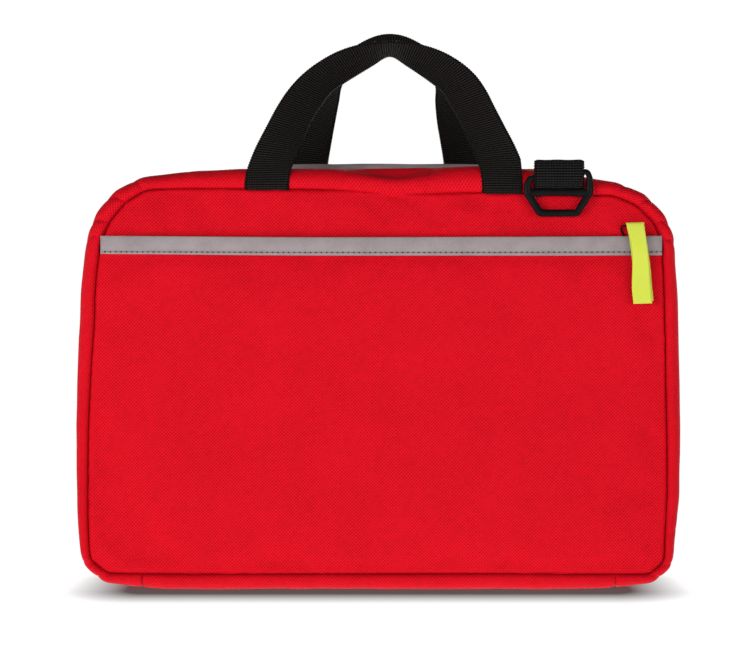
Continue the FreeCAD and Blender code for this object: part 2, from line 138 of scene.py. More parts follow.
def noise2(x, y, seed, scale):
    """Smooth value noise, -1 to 1, on arrays of millimetres."""
    rs = np.random.RandomState(seed)
    tab = rs.uniform(-1, 1, (64, 64))
    u, v = np.asarray(x) / scale + 17.3, np.asarray(y) / scale + 9.1
    i, j = np.floor(u).astype(int), np.floor(v).astype(int)
    fu, fv = u - i, v - j
    fu, fv = fu * fu * (3 - 2 * fu), fv * fv * (3 - 2 * fv)
    g = lambda a, b: tab[a % 64, b % 64]
    return ((g(i, j) * (1 - fu) + g(i + 1, j) * fu) * (1 - fv)
            + (g(i, j + 1) * (1 - fu) + g(i + 1, j + 1) * fu) * fv)


def bump_at(x, c, w):
    return np.exp(-0.5 * ((np.asarray(x) - c) / w) ** 2)


def solidify(o, t, offset=-1.0):
    m = o.modifiers.new("thick", "SOLIDIFY")
    m.thickness = t * MM
    m.offset = offset
    m.use_even_offset = False
    return o


def join(name, parts):
    """One object from several mesh objects."""
    bpy.ops.object.select_all(action="DESELECT")
    for p in parts:
        p.select_set(True)
    bpy.context.view_layer.objects.active = parts[0]
    bpy.ops.object.join()
    o = bpy.context.view_layer.objects.active
    o.name = name
    o.data.name = name
    return o


def mat(o, m):
    o.data.materials.clear()
    o.data.materials.append(m)
    return o


def cad_material(node, m):
    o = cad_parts[node]
    for s in o.material_slots:
        s.material = m
    if not o.material_slots:
        o.data.materials.append(m)


# =====================================================================
# materials
# =====================================================================


class Nodes:
    """A short way to write a node tree."""

    def __init__(self, name):
        self.m = bpy.data.materials.new(name)
        self.m.use_nodes = True
        self.t = self.m.node_tree
        self.t.nodes.clear()
        self.out = self.t.nodes.new("ShaderNodeOutputMaterial")
        self.bsdf = self.t.nodes.new("ShaderNodeBsdfPrincipled")
        self.t.links.new(self.bsdf.outputs[0], self.out.inputs[0])

    def n(self, kind, **kw):
        x = self.t.nodes.new(kind)
        for k, v in kw.items():
            setattr(x, k, v)
        return x

    def put(self, sock, v):
        if hasattr(v, "is_output") or isinstance(v, bpy.types.NodeSocket):
            self.t.links.new(v, sock)
        else:
            sock.default_value = v

    def math(self, op, a, b=None, clamp=False):
        x = self.n("ShaderNodeMath", operation=op, use_clamp=clamp)
        self.put(x.inputs[0], a)
        if b is not None:
            self.put(x.inputs[1], b)
        return x.outputs[0]

    def mix(self, f, a, b):
        x = self.n("ShaderNodeMix", data_type="RGBA")
        self.put(x.inputs[0], f)
        self.put(x.inputs[6], a)
        self.put(x.inputs[7], b)
        return x.outputs[2]

    def mixf(self, f, a, b):
        x = self.n("ShaderNodeMix", data_type="FLOAT")
        self.put(x.inputs[0], f)
        self.put(x.inputs[2], a)
        self.put(x.inputs[3], b)
        return x.outputs[0]

    def uv(self):
        c = self.n("ShaderNodeTexCoord")
        s = self.n("ShaderNodeSeparateXYZ")
        self.put(s.inputs[0], c.outputs["UV"])
        self.uvo = c.outputs["UV"]
        return s.outputs[0], s.outputs[1]

    def obj(self):
        c = self.n("ShaderNodeTexCoord")
        return c.outputs["Object"]

    def noise(self, vec, scale, detail=3.0, rough=0.55):
        x = self.n("ShaderNodeTexNoise")
        self.put(x.inputs["Vector"], vec)
        self.put(x.inputs["Scale"], scale)
        self.put(x.inputs["Detail"], detail)
        self.put(x.inputs["Roughness"], rough)
        return x.outputs[0]

    def remap(self, v, a, b, c, d):
        x = self.n("ShaderNodeMapRange")
        self.put(x.inputs[0], v)
        for i, q in enumerate((a, b, c, d)):
            self.put(x.inputs[i + 1], q)
        return x.outputs[0]

    def bump(self, h, dist, strength=1.0, normal=None):
        x = self.n("ShaderNodeBump")
        x.inputs["Strength"].default_value = strength
        x.inputs["Distance"].default_value = dist * MM
        self.put(x.inputs["Height"], h)
        if normal is not None:
            self.put(x.inputs["Normal"], normal)
        return x.outputs[0]

    def thread(self, c, pitch):
        """Rounded threads across one coordinate: 0 in the gaps, 1 on the crowns."""
        s = self.math("SINE", self.math("MULTIPLY", c, math.pi / pitch))
        return self.math("POWER", self.math("ABSOLUTE", s), 0.6)

    def parity(self, u, pu, v, pv):
        a = self.math("FLOOR", self.math("DIVIDE", u, pu))
        b = self.math("FLOOR", self.math("DIVIDE", v, pv))
        return self.math("FLOORED_MODULO", self.math("ADD", a, b), 2.0)

    def weave(self, pu, pv, low=0.35):
        """Plain weave over UV millimetres: height 0 to 1."""
        u, v = self.uv()
        par = self.parity(u, pu, v, pv)
        inv = self.math("SUBTRACT", 1.0, par)
        warp = self.math("MULTIPLY", self.thread(u, pu), self.mixf(par, low, 1.0))
        weft = self.math("MULTIPLY", self.thread(v, pv), self.mixf(inv, low, 1.0))
        return self.math("MAXIMUM", warp, weft), par

    def set(self, **kw):
        for k, v in kw.items():
            self.put(self.bsdf.inputs[k.replace("_", " ")], v)
        return self


def srgb(r, g, b):
    f = lambda c: (c / 255 / 12.92) if c / 255 <= 0.04045 else ((c / 255 + 0.055) / 1.055) ** 2.4
    return (f(r), f(g), f(b), 1.0)


def red_fabric(name, hi, lo, pitch=0.93):
    """Coarse oxford cloth: plain weave, slightly uneven threads, faint cloudiness."""
    k = Nodes(name)
    h, par = k.weave(pitch, pitch, 0.30)
    u, v = k.uv()
    wave = lambda w: k.math("COSINE", k.math("MULTIPLY", w, math.pi / pitch), 0.0)
    diag = k.math("ADD", k.math("MULTIPLY", wave(k.math("SUBTRACT", u, v)), 0.62), k.math("MULTIPLY", wave(k.math("ADD", u, v)), 0.38))
    big = k.noise(k.obj(), 26.0, 2.0)
    slub = k.noise(k.obj(), 330.0, 2.0)
    fine = k.noise(k.obj(), 1500.0, 2.0)
    base = k.mix(k.remap(diag, -0.95, 0.95, 0.0, 1.0), lo, hi)
    # painted shade: the gaps between threads are darkened towards lo
    warp = k.mix(k.remap(h, 0.35, 0.85, 0.30, 0.0), base, lo)
    s1 = k.mix(k.remap(slub, 0.42, 0.70, 0.0, 0.22), warp, lo)
    s2 = k.mix(k.remap(big, 0.35, 0.68, 0.0, 0.10), s1, (hi[0] * 1.1, hi[1] * 1.6, hi[2] * 1.4, 1))
    hh = k.math("ADD", k.math("ADD", k.math("MULTIPLY", h, 0.6), k.math("MULTIPLY", diag, 0.45)), k.math("MULTIPLY", fine, 0.25))
    k.set(Base_Color=s2, Roughness=k.remap(h, 0, 1, 0.85, 0.62),
          Normal=k.bump(hh, 0.30, 0.9), Specular_IOR_Level=0.05, Sheen_Weight=0.01,
          Sheen_Roughness=0.5, Sheen_Tint=(1.0, 0.25, 0.25, 1))
    return k.m


def webbing_mat(name, hi, lo, row=1.0, col=1.35, dist=0.22):
    """Ribbed webbing: u runs across the strap and v along it, in millimetres."""
    k = Nodes(name)
    u, v = k.uv()
    c = k.math("FLOOR", k.math("DIVIDE", u, col))
    shift = k.math("MULTIPLY", k.math("FLOORED_MODULO", c, 2.0), row * 0.06)
    ribs = k.thread(k.math("ADD", v, shift), row)
    cols = k.thread(u, col)
    h = k.math("MULTIPLY", ribs, k.remap(cols, 0.0, 1.0, 0.45, 1.0))
    fine = k.noise(k.obj(), 1400.0, 2.0)
    hh = k.math("ADD", h, k.math("MULTIPLY", fine, 0.3))
    # painted highlight and shade: rib crowns take the light hi colour and the grooves the near-black lo colour
    base = k.mix(k.remap(h, 0.35, 0.98, 0.0, 1.0), lo, hi)
    k.set(Base_Color=k.mix(k.remap(fine, 0.45, 0.75, 0, 0.4), base, lo), Roughness=0.55,
          Normal=k.bump(hh, dist, 0.9), Specular_IOR_Level=0.05, Sheen_Weight=0.0)
    return k.m


def plain_fabric(name, hi, lo, pitch=0.6, rough=0.75, dist=0.12, sheen=0.05):
    k = Nodes(name)
    c = k.n("ShaderNodeTexCoord")
    s = k.n("ShaderNodeSeparateXYZ")
    k.put(s.inputs[0], c.outputs["Object"])
    x, y, z = s.outputs[0], s.outputs[1], s.outputs[2]
    p = pitch * MM
    a = k.thread(k.math("ADD", x, k.math("MULTIPLY", y, 1.0)), p)
    b = k.thread(k.math("ADD", z, k.math("MULTIPLY", y, 1.0)), p)
    h = k.math("MULTIPLY", a, b)
    big = k.noise(c.outputs["Object"], 60.0, 2.0)
    base = k.mix(k.remap(h, 0.1, 0.9, 0, 1), lo, hi)
    k.set(Base_Color=k.mix(k.remap(big, 0.35, 0.7, 0, 0.2), base, hi), Roughness=rough,
          Normal=k.bump(h, dist, 0.8), Specular_IOR_Level=0.25, Sheen_Weight=sheen)
    return k.m


def plastic(name, col, rough=0.42, grain=1800.0, dist=0.03, spec=0.25):
    k = Nodes(name)
    f = k.noise(k.obj(), grain, 3.0)
    b = k.noise(k.obj(), 90.0, 2.0)
    hi = (col[0] * 1.6 + 0.001, col[1] * 1.6 + 0.001, col[2] * 1.6 + 0.001, 1)
    k.set(Base_Color=k.mix(k.remap(b, 0.35, 0.7, 0, 0.5), col, hi), Roughness=k.remap(b, 0.3, 0.7, rough - 0.06, rough + 0.1),
          Normal=k.bump(f, dist, 0.6), Specular_IOR_Level=spec)
    return k.m


RED_HI, RED_LO = (0.86, 0.0048, 0.0180, 1), (0.36, 0.0014, 0.0055, 1)
M_RED = red_fabric("red_fabric", RED_HI, RED_LO)
# webbing and loop webbing colours: hi is a painted rib highlight, lo a painted groove shade
M_WEB = webbing_mat("webbing", (0.021, 0.018, 0.0165, 1), (0.0004, 0.0004, 0.0004, 1), row=1.3, col=1.3, dist=0.35)
M_LOOPWEB = webbing_mat("loop_webbing", (0.018, 0.0165, 0.016, 1), (0.0004, 0.0004, 0.0004, 1), row=1.45, col=1.45, dist=0.35)
M_RING = plastic("ring_plastic", (0.0030, 0.0028, 0.0030, 1), 0.36, spec=0.07)
M_SLIDER = plastic("slider_enamel", (0.010, 0.010, 0.011, 1), 0.28, 900.0, 0.01)
M_ZTAPE = plain_fabric("zip_tape", (0.020, 0.018, 0.018, 1), (0.006, 0.006, 0.006, 1), 0.7)
M_COIL = plastic("zip_coil", (0.012, 0.012, 0.013, 1), 0.38, 900.0, 0.01)
M_LINING = plain_fabric("lining_fabric", (0.075, 0.078, 0.085, 1), (0.030, 0.031, 0.035, 1), 0.45)
M_BIND = plain_fabric("binding_tape", (0.030, 0.030, 0.032, 1), (0.010, 0.010, 0.010, 1), 0.8)
M_ELASTIC = webbing_mat("elastic", (0.030, 0.030, 0.032, 1), (0.008, 0.008, 0.008, 1), row=0.8, col=0.8, dist=0.1)
M_STITCH_GREY = plain_fabric("grey_thread", (0.30, 0.27, 0.27, 1), (0.12, 0.10, 0.10, 1), 0.2, 0.6)
M_STITCH_RED = plain_fabric("red_thread", (0.50, 0.010, 0.018, 1), (0.25, 0.004, 0.008, 1), 0.2, 0.6)
# painted shade: a near-black finish for small proud capsules that stand for the shade in the strip's needle holes
M_NEEDLE_HOLE_SHADE = plain_fabric("needle_hole_painted_shade", (0.035, 0.022, 0.022, 1), (0.012, 0.008, 0.008, 1), 0.2, 0.7)


def strip_mat():
    k = Nodes("reflective_strip")
    u, v = k.uv()
    f = k.noise(k.obj(), 2200.0, 2.0)
    cloud = k.noise(k.obj(), 70.0, 2.0)
    ribs = k.thread(u, 0.35)
    hi, lo = (0.262, 0.222, 0.224, 1), (0.206, 0.172, 0.175, 1)
    col = k.mix(k.remap(cloud, 0.3, 0.7, 0, 1), lo, hi)
    col = k.mix(k.remap(f, 0.45, 0.8, 0, 0.35), col, (0.42, 0.38, 0.38, 1))
    k.set(Base_Color=col, Roughness=0.55, Metallic=0.0, Normal=k.bump(k.math("ADD", f, k.math("MULTIPLY", ribs, 0.3)), 0.05, 0.7),
          Specular_IOR_Level=0.25)
    return k.m


def neon_mat():
    k = Nodes("neon_ribbon")
    u, v = k.uv()
    ribs = k.thread(v, 0.55)
    cols = k.thread(u, 0.5)
    h = k.math("MULTIPLY", ribs, k.remap(cols, 0, 1, 0.7, 1.0))
    cloud = k.noise(k.obj(), 160.0, 2.0)
    col = k.mix(k.remap(h, 0.2, 0.95, 0, 1), (0.43, 0.505, 0.038, 1), (0.59, 0.66, 0.062, 1))
    col = k.mix(k.remap(cloud, 0.4, 0.7, 0, 0.35), col, (0.60, 0.62, 0.10, 1))
    k.set(Base_Color=col, Roughness=0.6, Normal=k.bump(h, 0.10, 0.7), Specular_IOR_Level=0.2)
    return k.m


M_STRIP = strip_mat()
M_NEON = neon_mat()

# =====================================================================
# outline: seam line of the front panel and the gusset's width outside it
# x, z of the seam and the gusset's reach outside it, in millimetres
# =====================================================================
SEAM = [
    (-130.0, 9.2, 8.2, 0), (-143.0, 9.4, 6.6, 0), (-149.9, 10.2, 5.4, 1), (-157.3, 16.1, 5.2, 1), (-158.9, 20.2, 5.2, 0),
    (-159.7, 33.0, 6.1, 0), (-159.9, 55.0, 6.9, 0), (-159.6, 90.0, 7.3, 0), (-158.0, 125.0, 8.2, 0),
    (-156.6, 145.0, 8.4, 0), (-155.9, 165.0, 8.4, 0), (-154.6, 180.0, 8.1, 0), (-153.2, 189.0, 8.1, 0),
    (-151.5, 195.1, 8.4, 1), (-147.7, 203.3, 9.4, 1), (-138.9, 213.8, 9.2, 1), (-129.0, 219.8, 7.4, 1),
    (-117.0, 221.0, 8.6, 0), (-100.0, 221.3, 9.8, 0), (-80.0, 221.3, 10.9, 0), (-50.0, 220.9, 11.5, 0),
    (-25.0, 220.6, 11.9, 0), (0.0, 220.0, 12.6, 0), (22.0, 219.2, 13.9, 0), (48.0, 219.0, 14.7, 0),
    (75.0, 219.0, 13.9, 0), (100.0, 218.3, 11.5, 0), (118.0, 217.6, 9.8, 0), (130.6, 216.9, 7.6, 1),
    (142.2, 211.9, 8.0, 1), (151.5, 202.4, 7.8, 1), (155.4, 193.6, 7.2, 1), (156.6, 180.0, 7.2, 0),
    (157.2, 165.0, 8.1, 0), (157.9, 140.0, 8.1, 0), (158.3, 110.0, 8.1, 0), (158.9, 80.0, 7.7, 0),
    (158.9, 55.0, 7.5, 0), (158.3, 40.0, 7.0, 0), (157.9, 31.0, 6.2, 1), (157.3, 18.5, 5.2, 0),
    (155.9, 14.9, 5.2, 1), (150.0, 9.7, 5.4, 1), (143.0, 8.9, 6.2, 0), (130.0, 8.9, 7.8, 0),
    (100.0, 9.0, 8.8, 0), (60.0, 9.2, 9.0, 0), (0.0, 9.1, 8.9, 0), (-60.0, 9.0, 8.8, 0), (-100.0, 9.0, 8.7, 0),
]


def outline_arrays(step=1.0, facet=True):
    """Evenly spaced seam points, outward normals, reach and length along the seam."""
    pts = np.array([[a, b, w] for a, b, w, _ in SEAM])
    sharp = np.array([f for *_, f in SEAM])
    n = len(pts)
    segs = []
    for i in range(n):
        p0, p1, p2, p3 = pts[i - 1], pts[i], pts[(i + 1) % n], pts[(i + 2) % n]
        L = np.linalg.norm(p2[:2] - p1[:2])
        m = max(2, int(L / 0.5))
        for k in range(m):
            t = k / m
            lin = p1 * (1 - t) + p2 * t
            d = np.linalg.norm(p2 - p1)
            m1 = (p2 - p0) * d / (np.linalg.norm(p2[:2] - p0[:2]) + 1e-9)
            m2 = (p3 - p1) * d / (np.linalg.norm(p3[:2] - p1[:2]) + 1e-9)
            h = ((2 * t ** 3 - 3 * t * t + 1) * p1 + (t ** 3 - 2 * t * t + t) * m1
                 + (-2 * t ** 3 + 3 * t * t) * p2 + (t ** 3 - t * t) * m2)
            w = 0.10 if (facet and sharp[i] and sharp[(i + 1) % n]) else 1.0
            segs.append(h * w + lin * (1 - w))
    P = np.array(segs)
    Q, s = resample(P[:, :2], step=step, closed=True)
    d = np.r_[0, np.cumsum(np.linalg.norm(np.diff(np.vstack([P[:, :2], P[:1, :2]]), axis=0), axis=1))]
    w = np.interp(s, d, np.r_[P[:, 2], P[0, 2]])
    Q = gauss(Q, 0.9 / step, closed=True)
    w = gauss(w[:, None], 6.0 / step, closed=True)[:, 0]
    T = np.roll(Q, -1, axis=0) - np.roll(Q, 1, axis=0)
    T = gauss(T, 5.5 / step, closed=True)
    T /= np.linalg.norm(T, axis=1)[:, None]
    N = np.column_stack([-T[:, 1], T[:, 0]])
    return Q, N, w, s


STEP = 0.75
S_PTS, S_NRM, S_W, S_LEN = outline_arrays(STEP)
PERIM = S_LEN[-1] + STEP


def crease_places():
    """Where the gusset puckers: lengths along the seam, with how deep and which way each leans."""
    out = []
    marks = [(-151.5, 195.1, 0.7, -4), (-147.7, 203.3, 1.5, -5), (-138.9, 213.8, 1.5, -6), (-129.0, 219.8, 0.9, -3),
             (-108.0, 221.1, 0.35, 2), (26.0, 219.2, 0.8, 3), (130.6, 216.9, 1.0, 3), (142.2, 211.9, 1.4, 5),
             (151.5, 202.4, 1.4, 5), (155.4, 193.6, 1.1, 4), (-149.9, 10.2, 1.1, 3), (-157.3, 16.1, 0.9, 3),
             (157.9, 31.0, 0.35, -3), (155.9, 14.9, 0.9, -3), (150.0, 9.7, 1.0, -3)]
    for x, z, dep, lean in marks:
        i = int(np.argmin((S_PTS[:, 0] - x) ** 2 + (S_PTS[:, 1] - z) ** 2))
        out.append((S_LEN[i], dep, lean))
    return out


CREASES = crease_places()


def wrap(d):
    return (d + PERIM / 2) % PERIM - PERIM / 2


def at_bottom(x):
    d = (S_PTS[:, 0] - x) ** 2 + (S_PTS[:, 1] - 9.1) ** 2
    return int(np.argmin(d))


I_LEFT, I_RIGHT = at_bottom(-130.0), at_bottom(130.0)


# the gusset's cross-section: share of the reach outwards, millimetres more outwards, y
PROFILE = [
    (-0.10, -0.3, -33.6), (-0.05, -0.2, -34.6), (0.00, -0.1, -35.4), (0.025, 0.0, -36.8), (0.075, 0.12, -38.0),
    (0.20, 0.35, -38.9), (0.45, 0.5, -38.9), (0.69, 0.4, -37.2), (0.86, 0.2, -34.6), (0.97, 0.1, -31.0), (1.01, 0.15, -27.0),
    (1.02, 0.3, -22.0), (1.01, 0.3, -17.0), (0.99, 0.1, -12.0), (0.975, -0.1, -8.8), (0.96, -0.35, -6.9),
    (0.93, -0.7, -5.9), (0.86, -1.1, -5.6), (0.80, -1.7, -6.4), (0.78, -1.9, -8.0),
]
BOTTOM_PROFILE = PROFILE[:10] + [(1.00, 0.05, -27.0), (1.0, 0.0, -20.0), (1.0, 0.0, -12.0), (1.0, -0.05, -6.0),
                                (1.0, -0.1, -2.0), (1.0, -0.1, 0.0)]


def gusset_points(profile, nv, seed, lift=0.5):
    """Grid of points (along the seam, across the gusset) for the front half."""
    prof = catmull(np.array(profile), nv)
    f, extra, y = prof[:, 0], prof[:, 1], prof[:, 2]
    n = len(S_PTS)
    out = np.zeros((n, nv, 3))
    reach = S_W[:, None] * f[None, :] + extra[None, :]
    yy = np.repeat(y[None, :], n, 0)
    # soft puckers and unevenness along the roll
    s = S_LEN[:, None] * np.ones((1, nv))
    vv = np.cumsum(np.r_[0, np.hypot(np.diff(y), np.diff(f) * 8.5)])[None, :] * np.ones((n, 1))
    roll = np.exp(-0.5 * ((vv - 7.5) / 6.0) ** 2)
    un = noise2(s, vv, seed, 34.0) * 0.40 + noise2(s, vv * 0.8, seed + 1, 12.0) * 0.26
    puck = np.zeros_like(s)
    for c, dep, lean in CREASES:
        d = wrap(s - c - lean * (vv - 4.0) / 14.0)
        fade = np.clip((vv - 1.5) / 3.0, 0, 1) * np.exp(-np.clip(vv - 13.0, 0, None) / 8.0)
        puck -= 1.6 * dep * np.exp(-np.abs(d / 0.75) ** 1.15) * fade
        puck += dep * 0.42 * (np.exp(-0.5 * ((d - 4.2) / 2.6) ** 2) + np.exp(-0.5 * ((d + 4.2) / 2.6) ** 2)) * fade
    soft = np.clip((vv - 1.0) / 4.0, 0, 1)
    ends = np.exp(-(np.minimum(np.abs(wrap(S_LEN - S_LEN[I_LEFT])), np.abs(wrap(S_LEN - S_LEN[I_RIGHT]))) / 1.0) ** 2)[:, None]
    disp = (un * 1.0 + puck) * soft - 1.1 * ends * np.clip((vv - 1.5) / 2.0, 0, 1)
    # the top front edge sags between the handle's feet
    top = (S_PTS[:, 1] > 200)[:, None]
    dip = 4.6 * bump_at(S_PTS[:, 0], 10.0, 15.0)[:, None] * top * np.exp(-np.abs((yy + 31.5) / 7.0) ** 2.6)
    front = np.clip((-y[None, :] - 24.0) / 14.0, 0, 1)
    out[..., 0] = S_PTS[:, 0:1] + S_NRM[:, 0:1] * (reach + disp * (0.35 + 0.65 * (1 - front)))
    out[..., 2] = S_PTS[:, 1:2] + S_NRM[:, 1:2] * (reach + disp * (0.35 + 0.65 * (1 - front)))
    out[..., 1] = yy - disp * front * 0.8
    out[..., 2] -= dip
    out[..., 1] += dip * 0.15
    out[..., 2] = np.maximum(out[..., 2], 0.12)
    uv = np.dstack([s + 500.0, vv + 500.0])
    return out, uv


def seg(P, lo, hi):
    """Rows of a closed run from index lo up to hi."""
    n = len(P)
    idx = [(lo + k) % n for k in range((hi - lo) % n + 1)]
    return P[idx]


def mirror_y(P):
    Q = P.copy()
    Q[..., 1] *= -1
    return Q


# ---------------------------------------------------------------- shell
def make_gusset(name, rear):
    P, uv = gusset_points(PROFILE, 46, 11 if not rear else 23)
    P, uv = seg(P, I_LEFT, I_RIGHT), seg(uv, I_LEFT, I_RIGHT)
    if rear:
        P = mirror_y(P)
    o = grid_object(name, P, uv, flip=rear)
    mat(o, M_RED)
    solidify(o, 0.7, -1.0)
    return o


front_gusset = make_gusset("front_gusset_cloth", False)
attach(front_gusset, "front_shell")
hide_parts("front_gusset", "front_gusset_foam")
rear_gusset = make_gusset("rear_gusset_cloth", True)
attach(rear_gusset, "rear_shell")
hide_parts("rear_gusset", "rear_gusset_foam")

# bottom gusset: one cloth from front seam to rear seam, the living hinge
Pf, uvf = gusset_points(BOTTOM_PROFILE, 40, 31)
Pr, uvr = gusset_points(BOTTOM_PROFILE, 40, 37)
Pf, uvf = seg(Pf, I_RIGHT, I_LEFT), seg(uvf, I_RIGHT, I_LEFT)
Pr = mirror_y(seg(Pr, I_RIGHT, I_LEFT))
uvr = seg(uvr, I_RIGHT, I_LEFT)
vmax = uvf[0, -1, 1]
uvr2 = uvr.copy()
uvr2[..., 1] = 2 * vmax - uvr[..., 1]
Pb = np.concatenate([Pf, Pr[:, -2::-1]], axis=1)
uvb = np.concatenate([uvf, uvr2[:, -2::-1]], axis=1)
bottom = grid_object("bottom_gusset_cloth", Pb, uvb)
mat(bottom, M_RED)
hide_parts("front_bottom_gusset", "rear_bottom_gusset")
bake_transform(bottom)


# ---------------------------------------------------------------- panels
def coons(L, Rr, B, T, nu, nv):
    """A grid between four edges: L and Rr run upwards, B and T run to the right."""
    L, _ = resample(L, n=nv)
    Rr, _ = resample(Rr, n=nv)
    B, _ = resample(B, n=nu)
    T, _ = resample(T, n=nu)
    u = np.linspace(0, 1, nu)[:, None, None]
    v = np.linspace(0, 1, nv)[None, :, None]
    S = ((1 - v) * B[:, None] + v * T[:, None] + (1 - u) * L[None] + u * Rr[None]
         - ((1 - u) * (1 - v) * B[0] + u * (1 - v) * B[-1] + (1 - u) * v * T[0] + u * v * T[-1]))
    return S


def inset_outline(d):
    return S_PTS - S_NRM * d


def nearest_seam(x, z):
    """Distance in from the seam, for arrays."""
    shp = x.shape
    q = np.column_stack([x.ravel(), z.ravel()])
    out = np.empty(len(q))
    for a in range(0, len(q), 4000):
        c = q[a:a + 4000]
        dd = ((c[:, None, :] - S_PTS[None, ::2]) ** 2).sum(2)
        out[a:a + 4000] = np.sqrt(dd.min(1))
    return out.reshape(shp)


Z_SPLIT_HI, Z_SPLIT_LO = 192.2, 186.6


def split_outline(O, z, top):
    """The outline above (or below) a level, as left, right and outer edge runs."""
    n = len(O)
    il = min(range(n), key=lambda i: abs(O[i, 1] - z) + (1000 if O[i, 0] > 0 else 0))
    ir = min(range(n), key=lambda i: abs(O[i, 1] - z) + (1000 if O[i, 0] < 0 else 0))
    O = O.copy()
    O[il, 1] = O[ir, 1] = z
    return il, ir, O


def corner_index(O, x, z):
    return int(np.argmin((O[:, 0] - x) ** 2 + (O[:, 1] - z) ** 2))


def cloth_relax(P, pinned, pressure=1.2, frames=16, slack=0.012, cap=2.0):
    """Runs a short cloth simulation on a grid in millimetres and returns how far each point moved, capped."""
    n, m = P.shape[:2]
    o = grid_object("relaxing", P, np.zeros((n, m, 2)))
    g = o.vertex_groups.new(name="pin")
    g.add([int(i) for i in np.flatnonzero(pinned.ravel())], 1.0, "REPLACE")
    c = o.modifiers.new("cloth", "CLOTH")
    st = c.settings
    st.quality = 6
    st.mass = 0.25
    st.tension_stiffness = st.compression_stiffness = 30
    st.shear_stiffness = 12
    st.bending_stiffness = 3.0
    st.vertex_group_mass = "pin"
    st.use_pressure = True
    st.uniform_pressure_force = pressure
    st.shrink_min = -slack
    st.effector_weights.gravity = 0
    c.collision_settings.use_self_collision = False
    c.point_cache.frame_start, c.point_cache.frame_end = 1, frames
    sc = bpy.context.scene
    for f in range(1, frames + 1):
        sc.frame_set(f)
    dg = bpy.context.evaluated_depsgraph_get()
    me = o.evaluated_get(dg).to_mesh()
    co = np.zeros(len(me.vertices) * 3)
    me.vertices.foreach_get("co", co)
    Q = co.reshape(n, m, 3) / MM
    o.evaluated_get(dg).to_mesh_clear()
    bpy.data.objects.remove(o)
    sc.frame_set(1)
    d = Q - P
    L = np.linalg.norm(d, axis=2, keepdims=True)
    d *= cap / np.maximum(L, cap)
    return np.nan_to_num(d)


def upsample(D, nu, nv):
    """A coarse grid of displacements, smoothly read at nu by nv points."""
    n, m, k = D.shape
    out = np.zeros((nu, m, k))
    a = np.linspace(0, n - 1, nu)
    for j in range(m):
        for c in range(k):
            out[:, j, c] = np.interp(a, np.arange(n), D[:, j, c])
    out = gauss(out, nu / n * 0.6)
    fin = np.zeros((nu, nv, k))
    b = np.linspace(0, m - 1, nv)
    for i in range(nu):
        for c in range(k):
            fin[i, :, c] = np.interp(b, np.arange(m), out[i, :, c])
    fin = gauss(fin.transpose(1, 0, 2), nv / m * 0.6).transpose(1, 0, 2)
    return fin


def panel_surface(x, z, seed, crown=1.9, folds=1.0):
    """Depth of the padded panel at x, z: 0 at the seam, rising inwards."""
    d = nearest_seam(x, z)
    roll = 1.0 - np.exp(-(np.clip(d, 0, None) / 0.75) ** 1.25)
    body = np.sin(np.clip(d / 60.0, 0, 1) * math.pi / 2)
    un = noise2(x, z * 0.45, seed, 52.0) * 0.42 * folds + noise2(x, z * 0.4, seed + 1, 21.0) * 0.16 * folds
    near = np.exp(-d / 8.0)
    rip = noise2(x + z * 0.2, z * 0.55, seed + 2, 9.0) * 0.34 * near
    y = -34.9 - 3.2 * roll - crown * body - un * np.clip(d / 22, 0, 1) - rip * roll
    return y, d


